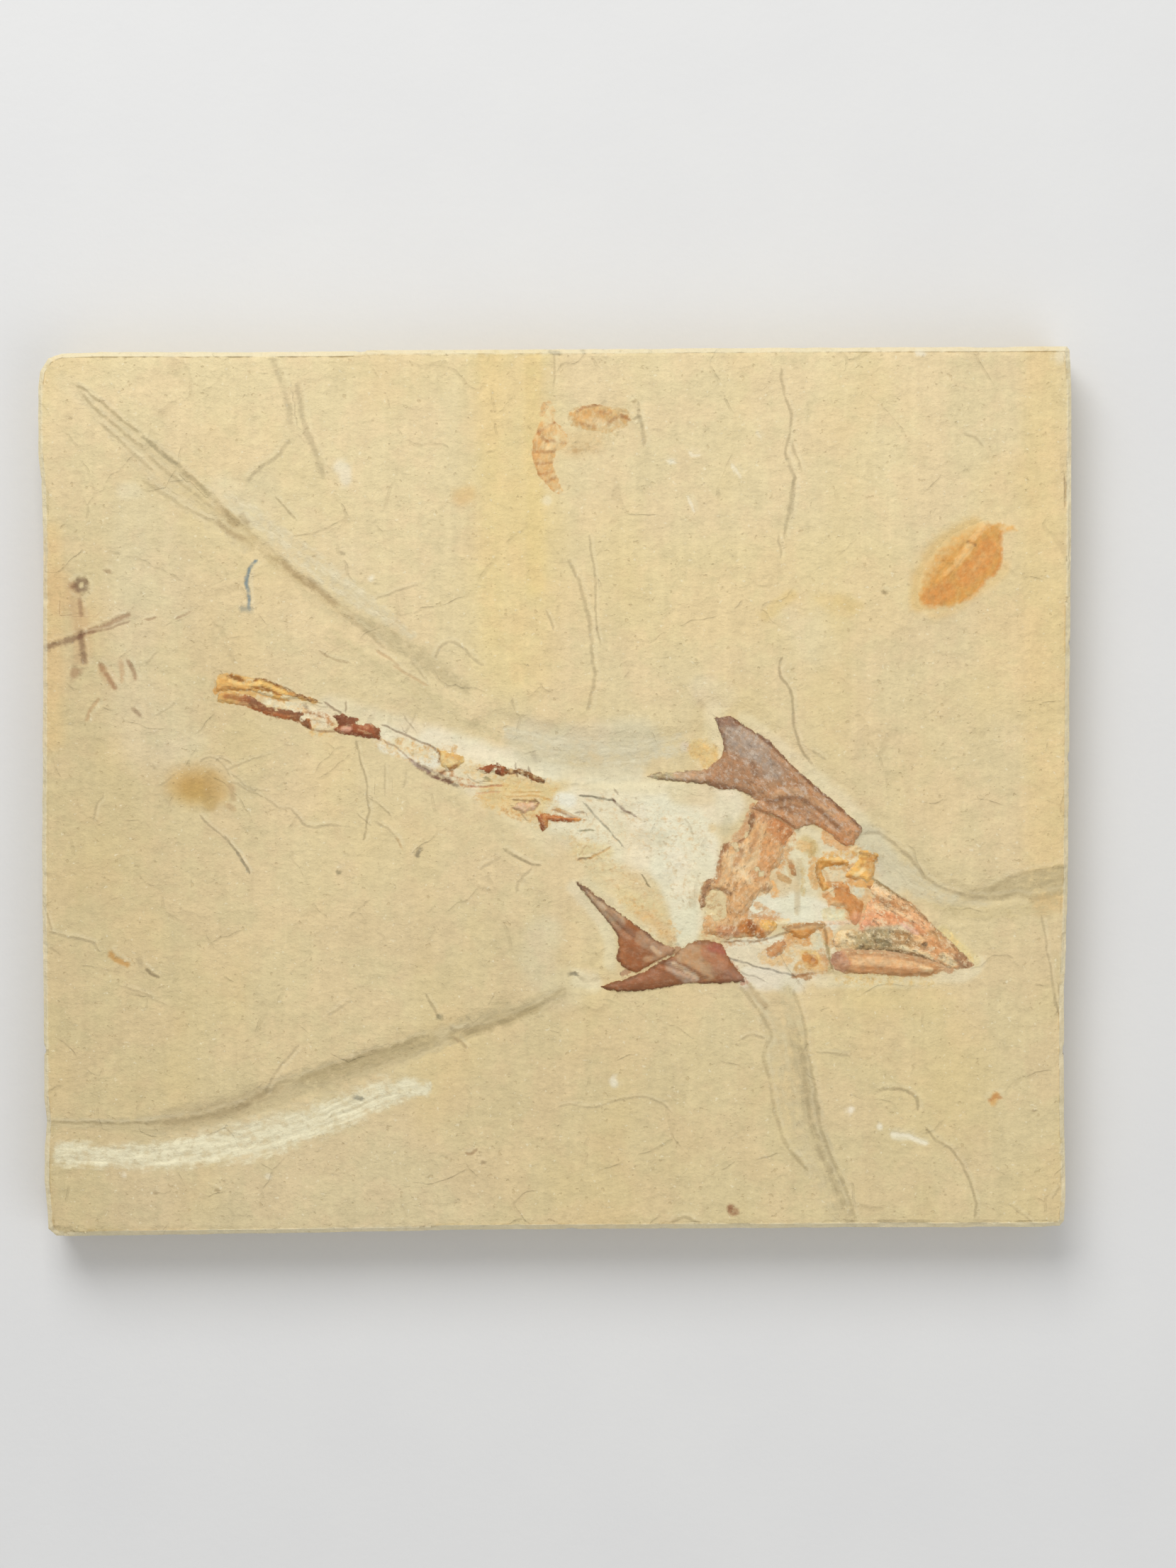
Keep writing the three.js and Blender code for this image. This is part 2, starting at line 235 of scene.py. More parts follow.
BED_STROKES = [
    # upright iron stains and the rusty strip down the right
    ((228, 205, 147), 0.55, 3.5, 9, [(-8, 88), (-8, 26)]),
    ((229, 204, 142), 0.5, 0.8, 2, [(-4.4, 88), (-3.6, 40)]),
    ((230, 205, 148), 0.4, 1, 2.5, [(-12.8, 88), (-12.4, 30)]),
    ((229, 203, 148), 0.35, 0.6, 1.5, [(-7.6, 60), (-7.2, 22)]),
    ((229, 203, 148), 0.6, 1.8, 4.5, [(95.6, 88), (96, -18)]),
    ((229, 203, 150), 0.4, 3, 6, [(88, 60), (89, 20)]),
    ((221, 190, 136), 0.6, 1, 3, [(-99, 50), (-98.6, 10)]),
    ((222, 196, 146), 0.3, 2, 5, [(-92, 32), (-86, 30)]),
    ((228, 206, 152), 0.35, 6, 10, [(20, 38), (60, 40)]),
    ((214, 197, 160), 0.4, 10, 14, [(-70, -80), (-30, -80)]),
    ((212, 191, 146), 0.4, 12, 16, [(-10, -60), (10, -70)]),
    ((222, 200, 148), 0.35, 5, 12, [(62, -45), (75, -60)]),
    ((220, 198, 146), 0.45, 2.5, 5, [(61, -39), (73, -40)]),
    # pale patches beside the long repair at the top left
    ((226, 212, 174), 0.6, 1.5, 2.5, [(-65, 59.5), (-61, 55.5)]),
    ((224, 208, 168), 0.5, 3, 5, [(-58, 57), (-43, 45)]),
    ((230, 217, 182), 0.55, 0.8, 1.4, [(-84, 58.8), (-82, 58.6)]),
    ((228, 213, 174), 0.4, 0.9, 1.6, [(-96, 80), (-92, 77)]),
    # chalky ground above the tail and the backbone
    ((236, 222, 190), 0.7, 1, 1.6, [(-50, 15.6), (-45.4, 14)]),
    ((232, 214, 186), 0.6, 0.8, 1.4, [(-34, 10.4), (-24, 5.6)]),
    ((232, 221, 188), 0.55, 1.2, 2.2, [(-44, 16.6), (-24, 10.4)]),
    ((235, 226, 196), 0.85, 1.5, 2.2, [(-24, 10), (-2, 3.6)]),
    ((234, 224, 193), 0.7, 0.9, 1.8, [(-33, 11), (-23.5, 7)]),
    ((236, 228, 204), 0.8, 0.8, 1, [(-33, 8.8), (-29, 8.2), (-23.6, 5.6)]),
    ((236, 228, 202), 0.75, 0.9, 1.4, [(-19.6, 3.4), (-13, -0.8)]),
    ((226, 206, 152), 0.5, 0.7, 1, [(-31, 9.4), (-26, 7.6)]),
    # the body: ochre at the tail end, white and chalky up to the shoulder
    ((228, 212, 172), 0.7, 2, 3, [(-17, 3), (-8, -2), (0, -9)]),
    ((226, 200, 142), 0.8, 1.6, 2.2, [(-12, -0.6), (-4.5, -2.6)]),
    ((227, 201, 140), 0.6, 1, 1.8, [(-8.5, 1.4), (-1, -0.4)]),
    ((234, 224, 193), 0.9, 4.2, 3, [(4, -6), (20, -11)]),
    ((233, 221, 190), 0.9, 3, 2.2, [(6, -1.4), (33, -2.6)]),
    ((235, 227, 198), 0.9, 4, 2.6, [(20, -6), (27, -9), (27, -15)]),
    ((227, 209, 165), 0.6, 1.6, 3, [(5, -13), (10, -16), (13, -20)]),
    ((235, 227, 198), 0.85, 2.2, 2, [(22, -15), (25, -20), (26, -25)]),
    ((229, 224, 195), 0.85, 1.5, 1.6, [(25.4, -22), (25.6, -29)]),
    ((226, 206, 156), 0.65, 0.8, 1.6, [(13, -20.2), (20, -23.6)]),
    ((222, 186, 136), 0.6, 0.6, 1.4, [(17.5, -24.6), (22.4, -28.6)]),
    ((225, 194, 140), 0.55, 0.5, 1, [(15, -23.4), (18.6, -25.6)]),
    ((218, 198, 152), 0.5, 1.6, 2, [(24.6, -0.2), (29, -0.6)]),
    ((228, 214, 176), 0.6, 0.9, 1.2, [(6, 1.4), (27, 1.2)]),
    ((236, 232, 214), 0.75, 0.7, 1.2, [(1.4, -1.6), (2.9, -2)]),
    ((224, 198, 150), 0.7, 0.4, 0.7, [(30.6, -6.9), (30.9, -7.2)]),
    ((226, 204, 148), 0.6, 0.8, 1.4, [(5.2, -11.4), (10, -11.6)]),
    ((216, 194, 146), 0.5, 1, 2, [(1, -9.6), (3, -11)]),
    ((205, 193, 158), 0.4, 0.7, 1.4, [(16.5, -9), (21, -9.6)]),
    ((200, 190, 158), 0.55, 0.35, 0.8, [(27.6, -20), (26.6, -22.4)]),
    ((203, 192, 158), 0.5, 0.4, 0.9, [(33.8, -5.6), (33.4, -8)]),
    # the prepared hollow above the body, tan in its middle
    ((213, 203, 172), 0.65, 3, 3, [(-5, 9.6), (2, 8), (16, 10)]),
    ((214, 194, 152), 0.6, 1.3, 1.8, [(5, 5.6), (19, 5.6)]),
    ((222, 213, 184), 0.6, 0.8, 1.4, [(-2, 4), (6, 3.1), (16, 3.5)]),
    # pale ground and the small ochre patch left of the big spine
    ((231, 219, 183), 0.75, 1, 1.8, [(31.4, 15.8), (32, 8), (30, 5.6)]),
    ((226, 196, 138), 0.75, 1.1, 1.4, [(28, 8), (30.2, 7.8), (30, 6.2)]),
    ((190, 150, 104), 0.55, 0.3, 0.6, [(28.8, 6.8), (29.6, 6.2)]),
    ((228, 206, 186), 0.55, 0.5, 0.9, [(25.4, 8.7)]),
    ((229, 218, 184), 0.55, 0.7, 1.8, [(37, 13.8), (44.6, 8.6), (60.4, -6)]),
    # inside the head: white clay round the eye and along the gill
    ((228, 214, 178), 0.9, 2.8, 1.8, [(47, -9), (51, -12)]),
    ((229, 217, 182), 0.9, 3.4, 1.6, [(46.6, -13), (47.6, -18), (47, -22)]),
    ((232, 226, 200), 0.95, 2, 1.8, [(39.4, -23.2), (44, -22.2), (50, -23.4), (53, -25)]),
    ((230, 224, 196), 0.8, 1, 1.4, [(46, -22.6), (48, -22.4)]),
    ((227, 214, 178), 0.9, 2.4, 1.4, [(54.4, -12), (57.6, -12.6), (56, -16.4)]),
    ((214, 186, 124), 0.65, 0.8, 1.2, [(48.8, -10), (50.4, -11.4)]),
    ((190, 158, 106), 0.5, 0.25, 0.5, [(49, -10.8), (50.2, -12)]),
    ((208, 168, 110), 0.6, 0.5, 0.7, [(46.2, -14.2), (46.6, -16)]),
    ((196, 172, 130), 0.55, 0.25, 0.5, [(47.8, -13.6), (47.6, -24)]),
    ((214, 182, 134), 0.55, 0.5, 0.9, [(43.4, -16.6), (45.2, -17.6)]),
    ((218, 190, 146), 0.55, 0.9, 1.2, [(42.6, -18.6), (44.6, -19.4), (46.4, -18.6)]),
    ((219, 196, 150), 0.6, 0.9, 1.2, [(57.4, -10.2), (59, -11)]),
    ((226, 207, 162), 0.8, 1, 1, [(31.4, -20.6), (31.8, -23.4)]),
    ((233, 226, 200), 0.85, 0.5, 0.8, [(35, -29.9), (44.4, -29)]),
    ((229, 215, 184), 0.85, 1.8, 1.6, [(35, -32), (50, -34.8)]),
    ((232, 224, 200), 0.8, 1.4, 1.4, [(38, -36.6), (47, -37.4)]),
    ((228, 215, 182), 0.8, 1.8, 1.2, [(46, -30.8), (50, -30), (52.6, -31.6)]),
    ((223, 190, 140), 0.7, 0.9, 1, [(48.8, -32.6), (51.6, -34.2)]),
    ((216, 178, 122), 0.6, 0.4, 0.6, [(52.6, -27.2), (53.2, -29.6)]),
    # clay rims round the jaw, the snout and the lower spines
    ((231, 220, 184), 0.65, 0.6, 1.3, [(83.2, -33.6), (81, -35.9), (76, -36.6), (52, -37.4)]),
    ((226, 207, 150), 0.6, 0.5, 1, [(76, -27.4), (82.6, -33.4)]),
    ((230, 220, 186), 0.55, 0.6, 1.3, [(3.4, -18.6), (9, -24.4), (11, -29.4), (10.9, -34)]),
    ((230, 220, 186), 0.55, 0.5, 1.2, [(8.4, -37.6), (4, -37.6)]),
    ((228, 217, 180), 0.45, 0.6, 1.4, [(6, -18.2), (19, -28)]),
    # the blue-grey hollow over the snout
    ((213, 204, 174), 0.75, 1.7, 2.2, [(61.6, -9.6), (66.4, -17)]),
    ((204, 198, 172), 0.4, 0.6, 1.2, [(61.4, -12), (63.4, -14.6)]),
    # the yellow mould spot at the left, and its crumbs
    ((203, 171, 110), 0.8, 2.2, 3.2, [(-72, 1.2), (-67.6, 0.4)]),
    ((190, 153, 88), 0.75, 1, 2.2, [(-71.4, 0.8), (-68.6, 0.4)]),
    ((197, 166, 110), 0.55, 0.8, 1.4, [(-67.2, 2.6), (-67.4, -2.4)]),
    ((176, 142, 100), 0.45, 0.3, 0.6, [(-63.4, 1), (-62.8, -1.4)]),
    ((176, 142, 100), 0.45, 0.3, 0.6, [(-63.9, -2.8), (-62.8, -3.6)]),
    ((222, 208, 170), 0.45, 1.2, 2.2, [(-75.4, 7.4), (-70, 9.4)]),
    # stains round the twig and the ring at the left edge
    ((198, 160, 118), 0.45, 0.8, 1.6, [(-94.4, 38.4), (-92.4, 33), (-92.4, 26)]),
    ((206, 168, 120), 0.5, 0.7, 1.2, [(-88, 23.4), (-86.4, 21)]),
    ((206, 172, 128), 0.4, 0.7, 1.4, [(-84.4, 25.4), (-83.2, 22)]),
    ((212, 178, 128), 0.45, 1.2, 2.4, [(-97, 41), (-97.4, 37)]),
    ((150, 104, 72), 0.6, 0.5, 0.8, [(-94.4, 40.4)]),
    ((158, 112, 80), 0.55, 0.6, 0.8, [(-94, 23.2)]),
    # the brown film under the shrimp and stray rust
    ((216, 182, 130), 0.45, 1.6, 2.2, [(3.6, 68), (7, 68.6)]),
    ((186, 142, 92), 0.6, 0.3, 0.6, [(4.1, 66.8)]),
    ((222, 176, 108), 0.4, 0.7, 2, [(-18.2, 57.6), (-17.2, 58.2)]),
    ((216, 162, 90), 0.7, 0.4, 0.8, [(86.5, -59.8), (85.8, -60.8)]),
    ((219, 176, 116), 0.4, 1, 2.4, [(95.4, -22.2), (97.8, -21.6)]),
    ((226, 198, 138), 0.45, 0.7, 1.6, [(46.5, 37.6), (49.4, 35.7)]),
    ((226, 198, 138), 0.4, 0.8, 1.6, [(52.4, 37.6), (57.6, 35.4)]),
    # scars: chalky knocks and scrapes
    ((236, 228, 202), 0.6, 0.6, 1.2, [(-42.2, 63.4), (-41, 62.8), (-40.8, 61)]),
    ((238, 228, 198), 0.8, 0.3, 0.6, [(-36, 41.6)]),
    ((238, 228, 198), 0.7, 0.3, 0.6, [(22.9, 64.6)]),
    ((238, 226, 194), 0.6, 0.4, 0.8, [(-1.6, 57)]),
    ((240, 232, 208), 0.8, 0.5, 0.8, [(11.5, -57)]),
    ((240, 232, 208), 0.8, 0.3, 0.6, [(63.5, -65.7)]),
    ((240, 232, 208), 0.8, 0.3, 0.6, [(58.1, -62.2)]),
    ((238, 228, 200), 0.6, 0.3, 0.6, [(-84.4, -74.9)]),
    ((238, 228, 200), 0.6, 0.3, 0.6, [(-56.2, -75.5)]),
    ((236, 227, 198), 0.7, 0.3, 0.8, [(66.3, -67.2), (69.3, -67.6)]),
    ((236, 227, 198), 0.7, 0.3, 0.7, [(70.2, -67.9), (72.6, -68.8)]),
    ((238, 230, 206), 0.45, 0.9, 1.4, [(99.6, 85.4), (100.6, 86)]),
    ((224, 210, 174), 0.35, 2.2, 3.4, [(48, 34), (52, 28)]),
    ((222, 184, 116), 0.6, 1, 1.8, [(71.4, 37), (72, 43), (76, 48.6), (82, 52)]),
    ((226, 190, 126), 0.4, 0.8, 1.4, [(74, 35), (79, 36.6), (87.6, 43.6)]),
    ((222, 196, 130), 0.4, 0.7, 1.2, [(41.5, 34.4), (46, 38.4)]),
    ((222, 196, 130), 0.35, 0.6, 1.2, [(55.5, 37.6), (59.4, 36)]),
    ((224, 212, 180), 0.4, 1.4, 2.4, [(29, 20), (33, 18.6)]),
    ((232, 222, 190), 0.6, 1, 1.6, [(5, -36.8), (7, -37.2)]),
    ((222, 210, 176), 0.5, 2, 3, [(-2, -28), (-4, -34), (2, -39)]),
    # a cooler patch at the left, and a duller one under the tail
    ((222, 207, 170), 0.5, 4, 8, [(-80, 50), (-79, 12)]),
    ((208, 190, 148), 0.3, 5, 9, [(-32, -28), (-6, -36)]),
]


def stone_colour(xy):
    """The colour of the bare stone at each place."""
    up = np.clip(xy[:, 1:] / MIDDLE_TO_END, -1, 1)
    colours = np.where(up > 0, MIDDLE + up * (HEAD_END - MIDDLE), MIDDLE - up * (FOOT_END - MIDDLE))
    left = fade(-xy[:, 0] + 9 * cloud(xy, 30, 6), 38, 96) * fade(-xy[:, 1], -85, -20)
    colours += 0.8 * left[:, None] * (LEFT_SHADE - colours)
    swell = 0.014 * cloud(xy, 24, 7) + 0.012 * cloud(xy * (1, 0.22), 5, 8) + 0.010 * cloud(xy, 3.1, 9)
    colours *= 1 + swell[:, None]
    brush(colours, unsteady(xy, 0.35, 1.9, 10), BED_STROKES)
    return colours


# The filled breaks: the slab split when it was found and was glued, and the joins were filled
# with clay-coloured paste brushed along them: (colour, strength, [(x, y, half width) ...]).
FILLERS = [
    # the break at the top left: a fan of tan strands, brown and crumbly halfway, pale above
    ((213, 196, 156), 0.6, [(-93, 77.6, 0.6), (-86, 70.6, 1.8), (-79, 64, 3), (-72, 58, 3.6),
        (-65, 53, 3.2), (-60, 48, 1.6)]),
    ((207, 190, 148), 0.45, [(-96, 81.5, 0.3), (-90.6, 76.8, 0.8), (-85, 72, 1.3), (-79, 66.6, 1.8),
        (-73, 61.6, 2.2), (-67, 56, 2.2), (-60, 50, 1.8), (-53, 44.4, 1.6), (-47, 39, 2),
        (-40, 33.6, 1.6)]),
    ((198, 176, 130), 0.55, [(-66, 56, 0.6), (-62, 52, 1.8), (-57, 47.4, 1.4), (-51, 43.4, 1.8),
        (-45, 38.8, 1.4), (-38, 33.4, 0.8)]),
    ((218, 205, 170), 0.6, [(-64, 57.4, 0.8), (-58, 53, 1.8), (-51, 47.4, 2.4), (-44, 42, 2.4),
        (-37, 36.6, 2), (-28, 30, 1)]),
    ((199, 182, 140), 0.7, [(-38, 34, 0.8), (-33, 30.4, 1.8), (-27, 26.4, 2.2), (-22, 23.4, 1.4),
        (-17, 19.6, 0.8)]),
    ((206, 190, 146), 0.5, [(-44, 31, 0.8), (-34, 24, 1.4), (-22, 17, 1.6), (-11, 11, 1)]),
    # the long break at the foot, and the pale repair beside it
    ((198, 181, 140), 0.85, [(-101, -64.9, 0.3), (-90, -65, 0.5), (-81, -65, 1.2), (-73, -64.6, 2.4),
        (-65, -62.8, 2.9), (-57, -60.2, 2.9), (-49.5, -57.6, 3), (-41.5, -55, 2.8), (-34, -52.8, 2.4),
        (-27, -50, 2.1), (-20, -47.4, 2), (-12, -44.8, 1.9), (-5, -42.4, 1.6), (1.5, -39.4, 1)]),
    ((186, 167, 127), 0.7, [(-76, -64.8, 0.4), (-69, -63.6, 1.2), (-64, -62.2, 1.6), (-58, -60, 1.2),
        (-54, -58.2, 0.4)]),
    ((182, 164, 122), 0.7, [(-49, -56.6, 0.4), (-43, -54.6, 1.3), (-36, -52.2, 1.5), (-29, -50, 1.2),
        (-24, -48.4, 0.4)]),
    ((184, 165, 122), 0.8, [(-20, -48.2, 0.4), (-12, -45.6, 0.8), (-4, -42.4, 0.6)]),
    ((229, 220, 186), 0.85, [(-97, -70.8, 2.4), (-88, -71.4, 2.2), (-78, -71.6, 2.4), (-68, -69.9, 3.4),
        (-58.4, -68.2, 4.2), (-51, -66, 3.8), (-44, -63.6, 3.4), (-37, -60.6, 3), (-31.5, -58.4, 2.4),
        (-25, -58, 1.2)]),
    # the break below the head: pale and torn on the left, one dark strand down its right
    ((208, 192, 152), 0.6, [(37.6, -38.4, 0.8), (40.6, -42.4, 1.4), (43.6, -47.6, 1.8)]),
    ((205, 189, 148), 0.6, [(45, -38.4, 1.2), (46.4, -43.4, 1.6), (47.6, -48.6, 1.6)]),
    ((206, 190, 150), 0.55, [(43.4, -46.8, 2), (43.8, -52, 3), (45.4, -60, 3), (48, -68, 2.8),
        (51.6, -75.6, 2), (55.4, -83, 1.4)]),
    ((194, 177, 137), 0.7, [(46.6, -47, 0.6), (48, -52, 1.6), (49.8, -59.6, 1.9), (51.2, -66.4, 1.7),
        (53.4, -72.6, 1.5), (56, -79, 1.3), (57.8, -84.4, 0.9)]),
    # the grey hollow over the snout and its run to the right edge
    ((213, 201, 166), 0.75, [(62.4, -10.4, 1.2), (66.6, -14.6, 2), (71.6, -19, 2.3), (78, -21.8, 1.9),
        (84.6, -21.4, 1.2)]),
    ((194, 176, 134), 0.85, [(80, -20.4, 0.6), (85, -19.8, 1), (90, -18.8, 1.8), (95, -17.8, 2.4),
        (101.5, -17, 3)]),
    ((208, 190, 144), 0.6, [(74, -22.8, 0.8), (82, -24, 1.4), (90, -23.6, 1.3), (98, -22, 1.2)]),
    ((211, 201, 170), 0.6, [(-9, 11.4, 1), (-3, 9.6, 2), (4, 8, 2.8), (11, 7.4, 3.2), (18, 7.8, 3),
        (25, 9.4, 1.6)]),
]


def filled(xy):
    """Paste along the breaks: (along, across, cover) and its colour, for each place."""
    paste = np.zeros((len(xy), 3))
    colours = np.tile(earth(200, 182, 140), (len(xy), 1))
    loose = unsteady(xy, 0.3, 1.7, 12)
    for number, (colour, strength, points) in enumerate(FILLERS):
        line = eased(points)
        near = close_to(xy, line, 8)
        across, along, past = follow(loose[near], line[:, :2])
        half = width_at(line, along)
        cover = strength * fade(np.abs(across), half + 1.3, half * 0.45) * fade(past, 2.5, 0)
        wins = cover > paste[near, 2]
        chosen = near[wins]
        paste[chosen] = np.stack([along + 40 * number, across, cover], 1)[wins]
        share = cover / np.maximum(paste[near, 2], 1e-6)
        colours[near] += share[:, None] * (earth(*colour) - colours[near])
    return paste, colours


# Hairlines: cracks, dark strands in the paste, hairs, fine fish bones pressed flat in the stone,
# a fossil twig and one blue pencil stroke. Each is (ink, strength, half width, points).
CRACK = (134, 118, 88)
SOFT_CRACK = (162, 146, 114)
STRAND = (158, 140, 102)
RUST = (132, 84, 50)
BROWN = (112, 78, 54)
OCHRE = (196, 142, 74)
CHALK = (247, 238, 212)
PENCIL = (92, 126, 140)

CRACKS = [
    # the long upright crack at the right, broken off in steps
    (CRACK, 0.45, 0.22, [(44.3, 82.4), (44.5, 78.8), (46.3, 74.4), (46.1, 70.8), (45.2, 67.7), (45.4, 65)]),
    (SOFT_CRACK, 0.5, 0.3, [(45.2, 66), (47.2, 60.2), (46.2, 54.6)]),
    (CRACK, 0.42, 0.22, [(46.5, 67.7), (48.3, 62.8)]),
    (CRACK, 0.4, 0.26, [(46.9, 61.4), (44.9, 49.8)]),
    (SOFT_CRACK, 0.5, 0.2, [(43.8, 49.8), (44.2, 46.3)]),
    (CRACK, 0.6, 0.22, [(44.3, 26), (43.8, 22.9), (45.8, 20.4), (46.7, 17.5), (46.5, 13.5), (48.3, 7.7),
        (50.5, 5.4)]),
    (SOFT_CRACK, 0.6, 0.25, [(50.5, 7.7), (52.8, 6.3)]),
    # the pair of cracks above the body
    (CRACK, 0.45, 0.3, [(2.8, 44.9), (5.5, 39.6), (7.3, 30.2), (7.1, 26.4), (8, 22.4), (6.6, 16.2)]),
    (SOFT_CRACK, 0.55, 0.18, [(6.9, 49.8), (8, 40), (8.2, 32), (8.9, 29.3)]),
    (SOFT_CRACK, 0.5, 0.18, [(-1.6, 35.1), (-0.3, 32)]),
    # fine ones along the top
    (CRACK, 0.5, 0.3, [(16.6, 73.4), (17.5, 70), (17.5, 68)]),
    (SOFT_CRACK, 0.6, 0.25, [(16.5, 75.8), (16.7, 73.2), (15.8, 73)]),
    ((150, 126, 84), 0.6, 0.32, [(15.4, 76.2), (15.8, 76.3)]),
    (SOFT_CRACK, 0.4, 0.2, [(-0.1, 86), (-0.1, 79)]),
    (SOFT_CRACK, 0.6, 0.36, [(-60, 61), (-57.1, 63.7), (-54.4, 65.4), (-52.2, 68.6)]),
    (CRACK, 0.5, 0.2, [(-54.4, 57.2), (-50.7, 53.4)]),
    (SOFT_CRACK, 0.5, 0.45, [(-50.2, 79.7), (-49.3, 72.1), (-46.6, 65.9), (-45.5, 61.9)]),
    (SOFT_CRACK, 0.45, 0.5, [(-55.3, 85.1), (-52.2, 76.6), (-52, 72.1)]),
    (SOFT_CRACK, 0.45, 0.18, [(-34.7, 37.8), (-27.1, 40.2)]),
    (SOFT_CRACK, 0.55, 0.22, [(-23.1, 26.4), (-22.6, 28.2), (-20.4, 29.6), (-17.7, 28.2), (-16.4, 26.4),
        (-14.1, 24.6)]),
    (SOFT_CRACK, 0.4, 0.18, [(-28, 25.5), (-25.1, 21.5)]),
    (SOFT_CRACK, 0.4, 0.18, [(-8.3, 17.9), (-7.7, 16.2)]),
    (SOFT_CRACK, 0.4, 0.18, [(-27.5, 14.4), (-29.1, 11.7)]),
    (SOFT_CRACK, 0.45, 0.2, [(80.4, 70), (82.2, 69.2), (83.6, 67.7)]),
    # the hairs and bristles under the tail
    (CRACK, 0.55, 0.17, [(-38.8, 9.5), (-36.1, -2.1), (-37.3, -9.3)]),
    (CRACK, 0.4, 0.16, [(-36.1, -1.4), (-32.2, -4.8)]),
    (CRACK, 0.4, 0.15, [(-38.4, -4.8), (-36, -6.6)]),
    (SOFT_CRACK, 0.45, 0.16, [(-33.3, 5), (-33.1, -0.4)]),
    (SOFT_CRACK, 0.45, 0.18, [(-35.1, -6), (-31.5, -7.9), (-30.2, -10.6)]),
    (OCHRE, 0.45, 0.22, [(-30.8, -9.2), (-29.9, -11)]),
    (SOFT_CRACK, 0.4, 0.16, [(-29, 3.6), (-29.6, 1)]),
    (SOFT_CRACK, 0.6, 0.2, [(-51.3, -3.9), (-49.8, -5.3), (-49.1, -6.8), (-46.4, -7.1), (-44.2, -6.4),
        (-42.2, -6.6)]),
    (SOFT_CRACK, 0.4, 0.18, [(-56.4, -1.4), (-53.6, -3.6), (-51.6, -3.4)]),
    (CRACK, 0.75, 0.22, [(-9.9, -11.3), (-5.2, -14.2), (-3, -14.6)]),
    (SOFT_CRACK, 0.5, 0.25, [(-14.3, -15.1), (-11, -13.1)]),
    (SOFT_CRACK, 0.5, 0.22, [(-4.7, -15.5), (-7, -17.3), (-7.4, -19.6)]),
    # left side
    (SOFT_CRACK, 0.5, 0.18, [(-88.6, -1.3), (-89.9, -3), (-90.1, -5)]),
    (SOFT_CRACK, 0.4, 0.18, [(-79.9, 25.1), (-77.7, 27.3)]),
    (SOFT_CRACK, 0.4, 0.18, [(-77.7, 14.8), (-74.5, 17)]),
    (SOFT_CRACK, 0.6, 0.22, [(-98.6, -27.6), (-90.6, -29.5), (-89.3, -31)]),
    (SOFT_CRACK, 0.55, 0.18, [(-100, -22.7), (-98.4, -27)]),
    (SOFT_CRACK, 0.4, 0.2, [(-84.8, -38.3), (-80.8, -39.4), (-76.3, -41.8)]),
    (SOFT_CRACK, 0.6, 0.2, [(-50.2, -49.9), (-55.3, -55.7), (-56.5, -58.8)]),
    (SOFT_CRACK, 0.5, 0.2, [(-44.2, -43.8), (-40.2, -41.2)]),
    # the foot of the slab
    (SOFT_CRACK, 0.45, 0.18, [(1.1, -61.5), (3.3, -61), (5.5, -61.9), (8.6, -61.7), (12.2, -60.4),
        (16.7, -59.9), (20.3, -60.6), (22.5, -62.4)]),
    (CRACK, 0.5, 0.25, [(22.9, -84.3), (25.6, -83.1), (28.3, -84.7)]),
    (SOFT_CRACK, 0.5, 0.2, [(36.7, -48.5), (38.5, -47.6), (40.7, -48.5)]),
    (SOFT_CRACK, 0.45, 0.2, [(51.4, -51), (57.2, -51.7)]),
    (CRACK, 0.55, 0.26, [(62.9, -58.4), (65.3, -58), (68.3, -58.4), (70.7, -59.7), (71, -62)]),
    (CRACK, 0.5, 0.22, [(72.8, -65.9), (75.5, -69.1), (77.8, -70.2), (79.5, -72.6), (81.3, -76.2),
        (82.4, -80), (82.2, -83)]),
    (SOFT_CRACK, 0.45, 0.2, [(89.4, -81.1), (93.8, -84.9)]),
    (SOFT_CRACK, 0.45, 0.2, [(97.4, -79.3), (99.2, -77.6)]),
    (SOFT_CRACK, 0.5, 0.18, [(95.4, -24.9), (98.3, -43.2)]),
]

